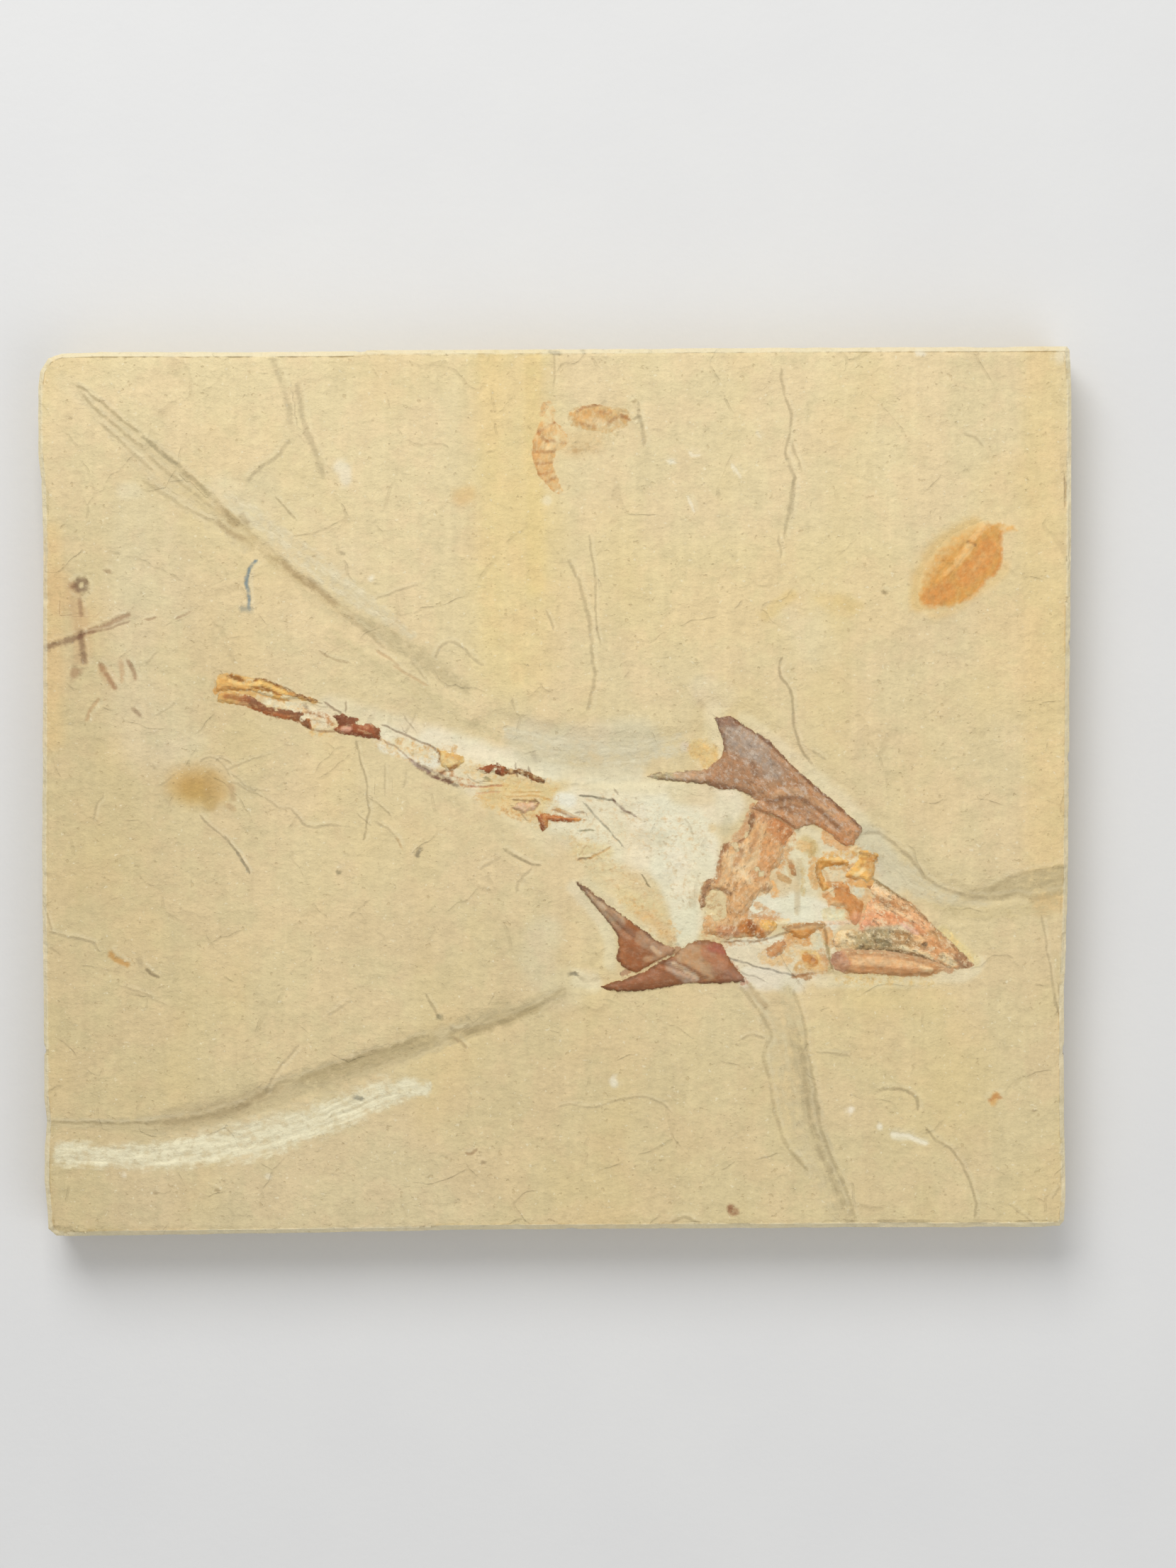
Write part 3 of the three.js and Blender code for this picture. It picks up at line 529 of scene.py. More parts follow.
STRANDS = [
    # along the break at the top left
    (STRAND, 0.6, 0.24, [(-93.5, 79.3), (-90.6, 77.5), (-81.7, 70.4)]),
    ((132, 120, 90), 0.65, 0.32, [(-80.4, 69.2), (-73.4, 63.4)]),
    (STRAND, 0.6, 0.4, [(-72.6, 62.4), (-67.6, 58.2)]),
    (STRAND, 0.5, 0.26, [(-92.4, 77.4), (-88.8, 73.8), (-81, 67.4)]),
    (STRAND, 0.4, 0.26, [(-79.4, 65.4), (-67, 55.4)]),
    (STRAND, 0.45, 0.26, [(-88.6, 71.8), (-79, 63)]),
    (STRAND, 0.4, 0.26, [(-80.6, 60.8), (-71, 54.6), (-66.6, 52.6)]),
    ((146, 122, 84), 0.5, 0.5, [(-65.6, 55.6), (-62.2, 52.2)]),
    ((140, 112, 76), 0.5, 0.5, [(-61.4, 54), (-60.2, 52.6)]),
    ((150, 120, 80), 0.5, 0.45, [(-66, 52.6), (-63.6, 50.6), (-61, 49.4)]),
    ((150, 122, 84), 0.5, 0.5, [(-53.4, 44.6), (-47.2, 39.8)]),
    ((158, 130, 92), 0.45, 0.45, [(-48.2, 41.6), (-42.8, 36.6)]),
    (STRAND, 0.4, 0.3, [(-41.5, 34.6), (-37, 31.5), (-33.6, 28.2)]),
    ((150, 136, 112), 0.5, 0.55, [(-4.3, 7.2), (-3, 5.8)]),
    # along the long break at the foot
    (STRAND, 0.55, 0.2, [(-100.4, -64.8), (-79.9, -65.1)]),
    (STRAND, 0.6, 0.4, [(-79.9, -65.1), (-69.2, -64.2), (-61.1, -61.5)]),
    ((150, 128, 92), 0.45, 0.4, [(-62, -62.4), (-57.6, -59.6)]),
    (STRAND, 0.45, 0.35, [(-57.1, -59.3), (-53.6, -57), (-49.5, -56.6), (-39.3, -52.6)]),
    (STRAND, 0.45, 0.35, [(-39.3, -52.6), (-24.8, -48.1)]),
    (STRAND, 0.4, 0.35, [(-20.4, -47), (-15.9, -47.2), (-4.8, -43.2), (1, -39.2)]),
    (BROWN, 0.45, 0.3, [(-19.5, -48.3), (-17.5, -50.1)]),
    (CRACK, 0.45, 0.22, [(-20.4, -46.2), (-18.6, -47.2), (-17.2, -46)]),
    (CRACK, 0.55, 0.2, [(-25.1, -40), (-23, -44)]),
    ((88, 92, 74), 0.6, 0.45, [(-23, -44), (-22.2, -44.4)]),
    ((84, 86, 78), 0.75, 0.35, [(-39.2, -60), (-37.6, -60.2)]),
    # down the break below the head
    (STRAND, 0.45, 0.28, [(36.7, -38.7), (42.9, -47.2), (40.5, -51.2), (42, -56.6), (43.4, -64.6),
        (45.6, -70), (49.2, -74)]),
    ((170, 138, 96), 0.5, 0.5, [(37.6, -38.2), (41.4, -42.2)]),
    (STRAND, 0.45, 0.28, [(46.9, -39.2), (48.7, -45), (49.2, -50.3), (50.3, -54.8), (51.9, -65.9),
        (53.6, -70.9), (56.3, -76.2), (58.3, -81.6), (58.6, -84.9)]),
    (STRAND, 0.45, 0.4, [(48.2, -50.3), (50, -63.7), (51.2, -68.2)]),
    (STRAND, 0.4, 0.4, [(51.6, -69.5), (56.4, -80.7)]),
    (STRAND, 0.4, 0.3, [(46.9, -70.9), (49.2, -74)]),
    # round the hollow in front of the head, and out to the right edge
    (SOFT_CRACK, 0.6, 0.28, [(60.8, -8.4), (64.4, -8.2), (69.3, -12.9), (72, -16.4), (75.5, -18.9),
        (78.2, -20.1), (84.4, -20.9)]),
    (STRAND, 0.45, 0.35, [(84.4, -19.6), (91.1, -16), (101, -14.6)]),
    (STRAND, 0.5, 0.4, [(84.9, -21.1), (89.8, -20.4), (94.3, -20.9), (100, -19.6)]),
]

FISH_LINES = [
    # the thin edges of the tail, and rays broken off it
    (BROWN, 0.8, 0.16, [(-54.6, 21), (-51.6, 19.4), (-45.9, 17.3)]),
    (BROWN, 0.75, 0.2, [(-45, 17.4), (-44.2, 16.4), (-42, 15.5), (-41.4, 14.6)]),
    (BROWN, 0.6, 0.15, [(-41, 17.6), (-40.8, 15.8)]),
    (BROWN, 0.7, 0.3, [(-49, 16.6), (-48.5, 16.2)]),
    (RUST, 0.7, 0.2, [(-47.8, 12.2), (-43.2, 11.6)]),
    (RUST, 0.55, 0.15, [(-47.6, 15.2), (-45.4, 14.4)]),
    (SOFT_CRACK, 0.5, 0.15, [(-49.2, 17.2), (-44.8, 16.4)]),
    (SOFT_CRACK, 0.45, 0.14, [(-48, 14.2), (-45.2, 13.4)]),
    (CRACK, 0.5, 0.14, [(-29.4, 14.6), (-27.6, 12)]),
    # the upper and lower edges of the body behind the tail
    (BROWN, 0.75, 0.17, [(-33.6, 12.9), (-24.4, 8.9), (-22.8, 7.8)]),
    (BROWN, 0.6, 0.2, [(-22.8, 7.8), (-20.6, 7.6)]),
    (RUST, 0.6, 0.16, [(-33.2, 9.7), (-31.4, 8.9), (-28.1, 6.1)]),
    ((146, 120, 116), 0.75, 0.3, [(-28.2, 6), (-27, 5), (-24.8, 4)]),
    ((118, 80, 66), 0.85, 0.3, [(-25.2, 4), (-24, 2.8), (-21.7, 2.1)]),
    (BROWN, 0.8, 0.22, [(-22.6, 3.2), (-20.4, 4.3)]),
    ((96, 66, 50), 0.8, 0.3, [(-21.6, 2.3), (-19, 1.2)]),
    (SOFT_CRACK, 0.55, 0.14, [(-17, 3), (-15.5, 1.9), (-14.4, 1.6)]),
    ((96, 100, 62), 0.7, 0.3, [(-13.6, 2.5), (-12.9, 2.3)]),
    ((176, 92, 66), 0.75, 0.16, [(-16.6, 0.9), (-10.6, 1.1)]),
    ((212, 150, 120), 0.5, 0.14, [(-15.2, -0.3), (-10.8, -0.2)]),
    (BROWN, 0.75, 0.18, [(-7.6, 5.4), (-7.4, 3)]),
    (BROWN, 0.7, 0.18, [(-4.9, 4.6), (-4.6, 2.2)]),
    # splints in the body
    (BROWN, 0.75, 0.2, [(-7.9, -1.6), (-3.4, -2.3)]),
    (BROWN, 0.7, 0.24, [(-3.9, -1.9), (-3.3, -2.6), (-3.9, -3.4)]),
    (BROWN, 0.55, 0.16, [(-8.2, -2.9), (-5.4, -5.4)]),
    (OCHRE, 0.55, 0.16, [(-9.6, -0.9), (-4, -1), (-1.2, -1.6)]),
    (OCHRE, 0.45, 0.16, [(-8.2, -0.1), (-2.6, -0.3)]),
    (RUST, 0.7, 0.2, [(-0.1, -3.6), (4.4, -5.5)]),
    (OCHRE, 0.6, 0.18, [(0.4, -3.4), (5.8, -5.6)]),
    (BROWN, 0.6, 0.18, [(4.4, -4), (5.7, -4.2)]),
    ((92, 88, 44), 0.75, 0.16, [(4.9, -7.8), (7.3, -7.7)]),
    ((120, 88, 62), 0.8, 0.2, [(4.7, -13.3), (6.9, -13.1)]),
    (OCHRE, 0.7, 0.16, [(6.7, -13.2), (10.8, -11)]),
    ((170, 138, 100), 0.5, 0.16, [(5, -12.2), (5.9, -10.9)]),
    ((74, 66, 50), 0.85, 0.17, [(5.1, -0.9), (11.6, -1.7)]),
    ((104, 62, 46), 0.85, 0.19, [(11.6, -1.7), (12.7, -3), (15.8, -4.9)]),
    ((120, 92, 66), 0.6, 0.18, [(11.8, 0.1), (12.4, -0.6)]),
    ((128, 124, 104), 0.75, 0.16, [(6, -2.6), (13.6, -10.8)]),
    ((108, 96, 66), 0.8, 0.17, [(17.1, -16.6), (18.6, -18.5)]),
    (SOFT_CRACK, 0.5, 0.18, [(25.6, -5.6), (26.6, -6.6), (27, -8.4)]),
    (SOFT_CRACK, 0.5, 0.2, [(13.2, -4), (15.2, -4.6)]),
    # splints and folds round the head
    ((104, 96, 84), 0.8, 0.16, [(33.4, -32.6), (46.8, -36.1)]),
    ((150, 138, 116), 0.6, 0.14, [(35, -34.6), (41, -37.2)]),
    ((160, 108, 62), 0.8, 0.24, [(46.7, -36.4), (48.2, -35.9), (50.8, -35.8)]),
    ((126, 92, 60), 0.7, 0.18, [(32.6, -29.5), (41, -29.3), (46, -27.4)]),
    # a thin brown line above, and lower down a painted shadow in the clay beside the jaw's joint
    ((126, 92, 60), 0.65, 0.22, [(52.9, -26.2), (53.1, -31.4), (54.2, -34.8)]),
    ((182, 120, 60), 0.6, 0.2, [(49.6, -33.8), (50.6, -34.3), (51.6, -33.4), (51, -32.2), (49.8, -32.4),
        (49.6, -33.8)]),
    ((150, 78, 36), 0.8, 0.3, [(50.2, -33.1), (50.7, -33.1)]),
    ((196, 140, 76), 0.6, 0.25, [(52.8, -15.6), (54, -18.4)]),
    ((140, 112, 78), 0.55, 0.2, [(57.6, -14.8), (59, -15.8), (59.8, -17)]),
    ((204, 146, 80), 0.55, 0.25, [(58.2, -12.6), (58.8, -11.4), (60.2, -11)]),
    ((128, 122, 92), 0.65, 0.2, [(61.4, -16.4), (68.6, -22)]),
]

SMALL_MARKS = [
    # the fossil twig, its knots and its crumbs
    ((116, 82, 62), 0.85, 0.6, [(-100.2, 27.9), (-92.8, 30.4)]),
    ((150, 108, 78), 0.75, 0.5, [(-92.8, 30.4), (-83.5, 34.4)]),
    ((124, 86, 64), 0.6, 0.18, [(-92, 30.6), (-87.6, 31.6), (-83.5, 33.2)]),
    ((140, 96, 66), 0.6, 0.2, [(-79.9, 33.6), (-78.1, 34)]),
    ((140, 100, 76), 0.6, 0.22, [(-73.9, 34.1), (-71.6, 34.9)]),
    ((128, 84, 64), 0.6, 0.4, [(-93, 37.6), (-92.7, 34.6)]),
    ((116, 82, 62), 0.8, 0.5, [(-93, 31.4), (-92.5, 29.4), (-92.2, 25.3)]),
    ((150, 108, 84), 0.45, 0.9, [(-94.6, 38), (-93.4, 36.2), (-90.4, 37.4)]),
    ((104, 68, 52), 0.85, 0.48, [(-93.9, 40), (-93.4, 41.3), (-92.2, 41.5), (-91.5, 40.3), (-92.2, 39.1),
        (-93.3, 39.2), (-93.9, 40)]),
    ((150, 96, 60), 0.75, 0.38, [(-88.9, 24.7), (-86.1, 20.2)]),
    ((190, 142, 98), 0.6, 0.34, [(-85.1, 25.5), (-84.6, 21.5)]),
    ((138, 88, 58), 0.65, 0.34, [(-83.6, 25.6), (-82, 22)]),
    ((128, 92, 66), 0.65, 0.3, [(-82.6, 16.2), (-81.1, 14.6)]),
    ((178, 132, 90), 0.55, 0.28, [(-89.3, 18), (-90.8, 16.4), (-91.7, 14.2)]),
    ((140, 104, 74), 0.6, 0.3, [(-88, 43.1), (-87.2, 42.8)]),
    # the blue pencil stroke
    (PENCIL, 0.95, 0.3, [(-58.7, 45), (-59.6, 43.8), (-60.2, 41.9), (-60.3, 40), (-59.6, 35.9)]),
    ((136, 142, 130), 0.7, 0.5, [(-61.4, 35.8), (-59.2, 35.7)]),
    # hairs and crumbs round the yellow spot
    (SOFT_CRACK, 0.65, 0.17, [(-69.2, -4.8), (-68.3, -6.2), (-65.2, -8.4), (-63.4, -10.2), (-60, -15.7)]),
    ((112, 108, 92), 0.6, 0.22, [(-62.2, -12.2), (-60, -15.9)]),
    (SOFT_CRACK, 0.5, 0.16, [(-64.3, -8.9), (-60.5, -14.6)]),
    (SOFT_CRACK, 0.55, 0.16, [(-66.1, 5.9), (-65.2, 6.6), (-63.4, 5.4)]),
    (SOFT_CRACK, 0.45, 0.25, [(-78.9, 4.8), (-78.3, 4.4)]),
    (SOFT_CRACK, 0.45, 0.18, [(-76.8, 1.4), (-74.5, 3.2)]),
    (SOFT_CRACK, 0.45, 0.15, [(-62.9, 3.2), (-59.8, 0.1), (-56.2, 0.1)]),
    # the rusty dashes at the lower left
    ((196, 144, 72), 0.9, 0.5, [(-87, -31.8), (-85.4, -33.1), (-83.5, -34)]),
    (SOFT_CRACK, 0.55, 0.5, [(-81.3, -32.9), (-80.8, -34.3)]),
    ((116, 98, 72), 0.8, 0.25, [(-79.9, -34.9), (-78.8, -35.9), (-77.7, -36.3)]),
    # dots
    ((96, 84, 58), 0.6, 0.35, [(-41.9, 46.6), (-41.3, 46.6)]),
    ((110, 84, 52), 0.65, 0.35, [(64.4, 39), (64.8, 38.8)]),
    ((88, 86, 62), 0.7, 0.4, [(-42.4, -15.8), (-42, -15.8)]),
    ((78, 72, 62), 0.75, 0.36, [(-26.9, -12.5), (-26.2, -11.3)]),
    ((70, 68, 60), 0.85, 0.32, [(2.9, -35.7), (4.1, -36)]),
    (SOFT_CRACK, 0.55, 0.3, [(4.6, -36.4), (6.2, -37.2), (8.2, -36.8)]),
    ((120, 96, 66), 0.6, 0.3, [(-78.3, -78.7), (-77.8, -78.7)]),
    ((120, 96, 66), 0.6, 0.3, [(-66.2, -78), (-65.8, -78)]),
    ((120, 90, 62), 0.6, 0.3, [(93.6, -62.5), (94, -62.5)]),
    ((110, 84, 60), 0.6, 0.3, [(-14.3, -72.6), (-13.8, -72.5)]),
    ((146, 106, 70), 0.65, 0.24, [(-17.3, -70.9), (-16.4, -71.2), (-15.5, -70.2)]),
    ((190, 122, 64), 0.7, 0.3, [(85.2, -60.4), (86.2, -59.4), (87.4, -59.9)]),
    ((140, 76, 44), 0.95, 0.6, [(34.4, -81.2), (34.5, -82.2), (35.6, -82.2)]),
    (CHALK, 0.6, 0.3, [(66.1, -67.1), (69.6, -67.6)]),
    (CHALK, 0.6, 0.3, [(69.8, -67.9), (72.9, -68.9)]),
    (CHALK, 0.7, 0.3, [(26.2, 57.6), (27.2, 54.9)]),
    (CHALK, 0.6, 0.3, [(26.4, 66.2), (27.2, 65.6), (28.2, 65.8)]),
    (CHALK, 0.6, 0.28, [(34.8, 64), (36.3, 61.6)]),
    (CHALK, 0.5, 0.25, [(39.8, 70.2), (40.2, 69.4)]),
    (CHALK, 0.5, 0.25, [(22, 64.8), (23.6, 64.4)]),
    # knocks in the sawn edges
    ((96, 84, 60), 0.8, 0.35, [(-1, 86.2), (1.2, 85.9)]),
    ((110, 96, 70), 0.6, 0.3, [(5.2, 86.4), (5.7, 85.8)]),
    ((236, 230, 210), 0.7, 0.5, [(70.9, 86), (72.2, 85.8)]),
    ((150, 116, 78), 0.5, 0.25, [(99.9, 61), (100, 56)]),
    # rusty threads over the tail, and curled ones by the ochre spot
    ((178, 134, 92), 0.5, 0.2, [(-34.8, 27.5), (-32.4, 26), (-30.6, 24.6)]),
    ((182, 138, 96), 0.45, 0.2, [(-31.2, 24.4), (-28, 22.6), (-25.2, 20.8)]),
    ((150, 122, 88), 0.45, 0.18, [(-45.8, 27.2), (-43.4, 25.6), (-40.6, 25.2)]),
    (SOFT_CRACK, 0.5, 0.16, [(-69.2, 6), (-67, 6.6), (-64.8, 5.2), (-63.6, 3.2)]),
    (SOFT_CRACK, 0.45, 0.16, [(-63.8, 4.4), (-60.4, 5.8), (-56, 7.2)]),
    (SOFT_CRACK, 0.45, 0.16, [(-63, 1.8), (-60.2, 0.2), (-57.4, -1)]),
]

LINES = CRACKS + STRANDS + FISH_LINES + SMALL_MARKS
LAYERS = 7
CLEAR = 2.4  # the least gap between two lines of a layer
INK_REACH = 2.6  # how far from a line it is drawn at all
INK_SPREAD = 1.35  # how much wider the stone draws a line than it is
INK_STRENGTH = 0.72


def sorted_into_layers():
    """Shares the lines out, so that no two in a layer come closer to each other than CLEAR."""
    layers = [[] for _ in range(LAYERS)]
    for ink, strength, half, points in LINES:
        line = eased(points)
        spread = [
            min([np.abs(follow(line, other)[0]).min() for _, _, _, other in layer] or [99])
            for layer in layers
        ]
        free = [n for n in range(LAYERS) if spread[n] > CLEAR] or [int(np.argmax(spread))]
        layers[free[0]].append((ink, strength, half, line))
    return layers


def inked(xy, layer):
    """One layer of lines: the distance from the nearest in half widths, and its ink and strength."""
    nearest = np.full(len(xy), 99.0)
    seam = np.full(len(xy), 9.0)
    ink = np.zeros((len(xy), 4))
    loose = unsteady(xy, 0.22, 1.6, 14)
    for colour, strength, half, line in layer:
        near = close_to(xy, line, INK_REACH)
        half = half * INK_SPREAD
        off, _, past = follow(loose[near], line)
        wins = np.abs(off) < nearest[near]
        chosen = near[wins]
        nearest[chosen] = np.abs(off)[wins]
        seam[chosen] = (off / half)[wins]
        ink[chosen, :3] = earth(*colour)
        shown = fade(np.abs(off), 1.5, 0.9 + half / 2) * fade(past, 0.7, 0.1)
        ink[chosen, 3] = (INK_STRENGTH * strength * shown)[wins]
    return seam, ink


# The blank, cut into cells, finer wherever something small is drawn on it, and all along the
# fish: (x, y, half width) down its length.
FISH_HULL = [(-66, 20.5, 3.6), (-50, 16.5, 4), (-36, 10, 6), (-22, 5.5, 6.5), (-8, 0, 8),
             (6, -6, 12), (20, -14, 20), (34, -14, 22), (48, -18, 19), (62, -24, 13), (76, -31, 7)]


def wants_detail(xy):
    """The places that need the finer cells."""
    hull = np.array(FISH_HULL)
    off, along, _ = follow(xy, hull[:, :2])
    fine = np.abs(off) < width_at(hull, along)
    for _, _, half, points in LINES:
        near = close_to(xy, points, half + 1)
        fine[near] |= np.abs(follow(xy[near], eased(points))[0]) < half + 0.75
    for _, _, points in FILLERS:
        near = close_to(xy, points, 4)
        fine[near] |= np.abs(follow(xy[near], eased(points)[:, :2])[0]) < 2.2
    for _, _, half, _, points in BED_STROKES:
        if half < 1:
            fine |= stroke(xy, points, half + 0.8, 0.1) > 0.5
    for rim in RIMS.values():
        depth = inside(xy, rim)
        fine |= np.abs(depth) < 1.0
        fine &= depth < 1.2
    return fine


def cut_across(mesh, axis, places):
    """Cuts the mesh by planes square to the axis."""
    square = Vector([float(n == axis) for n in range(3)])
    for place in places:
        whole = mesh.verts[:] + mesh.edges[:] + mesh.faces[:]
        bmesh.ops.bisect_plane(mesh, geom=whole, dist=1e-7, plane_co=square * place * MM, plane_no=square)


blank = bmesh.new()
blank.from_mesh(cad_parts["slab"].data)
bmesh.ops.remove_doubles(blank, verts=blank.verts, dist=1e-6)
under = [f for f in blank.faces if f.normal.z < -0.9 and f.calc_center_median().z < 1e-5]
bmesh.ops.delete(blank, geom=under, context="FACES")
bmesh.ops.dissolve_limit(blank, angle_limit=0.0005, verts=blank.verts, edges=blank.edges)
low, high = (np.array(corner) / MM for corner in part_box("slab"))
cut_across(blank, 0, np.arange(low[0] + CELL, high[0], CELL))
cut_across(blank, 1, np.arange(low[1] + CELL, high[1], CELL))
cut_across(blank, 2, np.arange(ARRIS + WALL_CELL, FACE_Z - ARRIS - 0.5, WALL_CELL))

slab_edge = plate_edge("slab")
centres = np.array([f.calc_center_median() for f in blank.faces]) / MM
fine = (centres[:, 2] > FACE_Z - LEVEL) & wants_detail(centres[:, :2])
fine |= (centres[:, 2] > FACE_Z - ARRIS) & (centres[:, 2] < FACE_Z - LEVEL)
edges = {e for f, chosen in zip(blank.faces, fine) if chosen for e in f.edges}
edges = sorted(edges, key=lambda e: e.index)
bmesh.ops.subdivide_edges(blank, edges=edges, cuts=2, use_grid_fill=True)
foot = [e for e in blank.edges if e.is_boundary]
bmesh.ops.holes_fill(blank, edges=foot, sides=0)
bmesh.ops.recalc_face_normals(blank, faces=blank.faces)
slab_mesh = bpy.data.meshes.new("limestone_slab")
blank.to_mesh(slab_mesh)
blank.free()
slab = placed("limestone_slab", slab_mesh)


def places_of(mesh):
    """The vertices of a mesh in mm."""
    flat = np.empty(len(mesh.vertices) * 3, np.float32)
    mesh.vertices.foreach_get("co", flat)
    return flat.reshape(-1, 3).astype(float) / MM


def set_places(mesh, places):
    """Moves the vertices of a mesh to places in mm."""
    mesh.vertices.foreach_set("co", (places * MM).astype(np.float32).ravel())
    mesh.update()


def write(mesh, name, values):
    """Keeps a number, a direction or a colour at each vertex, for a material to read."""
    values = np.asarray(values, np.float32)
    width = values.shape[1] if values.ndim > 1 else 1
    kind, field = {
        1: ("FLOAT", "value"), 3: ("FLOAT_VECTOR", "vector"), 4: ("FLOAT_COLOR", "color")}[width]
    mesh.attributes.new(name, kind, "POINT").data.foreach_set(field, values.ravel())


def write_colour(mesh, name, colours):
    """Keeps an opaque colour at each vertex."""
    write(mesh, name, np.column_stack([colours, np.ones(len(colours))]))


# The face is sunk to its relief, the arris is chipped, and the walls get the saw's ripple.
places = places_of(slab_mesh)
xy = places[:, :2].copy()
height = places[:, 2].copy()
on_face = height > FACE_Z - LEVEL
on_arris = (height > FACE_Z - ARRIS - LEVEL) & ~on_face
on_wall = (height > ARRIS - LEVEL) & (height < FACE_Z - ARRIS + LEVEL)
sunk = np.zeros(len(xy))
for rim in RIMS.values():
    sunk = np.maximum(sunk, fade(inside(xy, rim), 0.25, 0.8))
places[on_face, 2] += (relief(xy) - 0.35 * sunk)[on_face]
worn = fade(cloud(xy, 3.0, 16), 0.2, 0.8) * fade(cloud(xy, 11, 17), -0.4, 0.3)
edge_depth = -inside(xy, slab_edge)
rise = np.clip((height - (FACE_Z - ARRIS)) / ARRIS, 0, 1)
places[on_arris, 2] += ((0.12 * cloud(xy, 0.9, 18) - 0.55 * worn) * (0.3 + rise))[on_arris]
lip = on_face & (np.abs(edge_depth) < ARRIS + 0.3)
places[lip, 2] -= (0.06 + 0.10 * fade(cloud(xy, 2.2, 19), -0.2, 0.8) + 0.35 * worn)[lip]
half_long, half_wide = (high - low)[:2] / 2
side = np.abs(xy[:, 0]) / half_long > np.abs(xy[:, 1]) / half_wide
run = np.where(side, xy[:, 1], xy[:, 0])
sawn = np.column_stack([run + 0.35 * height, height * 0.5 + 60 * side])
ripple = 0.05 + 0.05 * cloud(sawn * (1, 0.2), 1.6, 20) + 0.06 * cloud(sawn, 4.5, 21)
ripple += 0.5 * fade(cloud(sawn, 3.2, 22), 0.55, 0.9)
inward = -np.sign(places[:, :2])
for axis, faces_it in ((0, side), (1, ~side)):
    moved = on_wall & faces_it
    places[moved, axis] += (inward[:, axis] * np.clip(ripple, 0, 1))[moved]
set_places(slab_mesh, places)

# How far down the walls the markings run, as heights: the stains stop first, the paste last.
STAIN_FOOT = FACE_Z - 1
INK_FOOT = FACE_Z - 4
PASTE_FOOT = 8

write_colour(slab_mesh, "bed", stone_colour(xy))
face_xy = xy
stain = np.zeros((len(xy), 4))
paste, paste_colour = filled(xy)
write(slab_mesh, "paste", paste * (1, 1, 0) + np.outer(paste[:, 2] * (height > PASTE_FOOT), (0, 0, 1)))
write_colour(slab_mesh, "paste_colour", paste_colour)
for number, layer in enumerate(sorted_into_layers()):
    seam, ink = inked(xy, layer)
    ink[:, 3] *= height > INK_FOOT
    write(slab_mesh, f"seam_{number}", seam)
    write(slab_mesh, f"ink_{number}", ink)
write(slab_mesh, "broken", np.where(on_arris, 1.0, np.where(lip, 0.6, np.where(on_face, 0.0, 0.5))))


# The stone's grain, shared by everything that shows some stone.
def add(tree, kind, inputs=None, **settings):
    """Puts one node in a tree, sets it up and wires it: a socket is linked, a value is set."""
    node = tree.nodes.new(kind)
    for name, value in settings.items():
        setattr(node, name, value)
    for name, value in (inputs or {}).items():
        if isinstance(value, bpy.types.NodeSocket):
            tree.links.new(value, node.inputs[name])
        else:
            node.inputs[name].default_value = value
    return node


def maths(tree, operation, *values):
    """One sum of two or three numbers or sockets."""
    return add(tree, "ShaderNodeMath", dict(enumerate(values)), operation=operation).outputs[0]


def times(tree, first, second):
    """Two numbers or sockets multiplied."""
    return maths(tree, "MULTIPLY", first, second)


def plus(tree, base, value, amount):
    """A base with so much of a value added to it."""
    return maths(tree, "MULTIPLY_ADD", value, amount, base)


def sway(tree, base, grain, amount):
    """A base that goes up and down with the grain, by half the amount at most."""
    return plus(tree, base, maths(tree, "SUBTRACT", grain, 0.5), amount)


def noise(tree, place, size, detail=3.0, roughness=0.55, stretch=None):
    """Grain with lumps of that size in mm, about 0 to 1, stretched along an axis if asked."""
    if stretch:
        place = add(tree, "ShaderNodeVectorMath", {0: place, 1: stretch}, operation="MULTIPLY").outputs[0]
    inputs = {"Vector": place, "Scale": 1 / size, "Detail": detail, "Roughness": roughness}
    return add(tree, "ShaderNodeTexNoise", inputs).outputs["Fac"]


def ramp(tree, value, none, full):
    """A soft step from 0 at none to 1 at full."""
    inputs = {"Value": value, "From Min": none, "From Max": full}
    return add(tree, "ShaderNodeMapRange", inputs, interpolation_type="SMOOTHSTEP").outputs[0]


def blend(tree, share, first, second, blend_type="MIX"):
    """Two colours mixed by a share."""
    inputs = {0: share, 6: first, 7: second}
    node = add(tree, "ShaderNodeMix", inputs, data_type="RGBA", blend_type=blend_type)
    return node.outputs[2]


def tinted(tree, colour, factor):
    """A colour made brighter or darker by a factor."""
    inputs = {0: colour, "Scale": factor}
    return add(tree, "ShaderNodeVectorMath", inputs, operation="SCALE").outputs[0]


def new_group(name, inputs, outputs):
    """An empty node group: its tree, the sockets inside its input, and its output node."""
    tree = bpy.data.node_groups.new(name, "ShaderNodeTree")
    for direction, sockets in (("INPUT", inputs), ("OUTPUT", outputs)):
        for socket, kind in sockets.items():
            tree.interface.new_socket(socket, in_out=direction, socket_type=f"NodeSocket{kind}")
    return tree, tree.nodes.new("NodeGroupInput").outputs, tree.nodes.new("NodeGroupOutput")


def put(tree, group, inputs):
    """Places a node group in a tree and gives its outputs."""
    return add(tree, "ShaderNodeGroup", inputs, node_tree=group).outputs


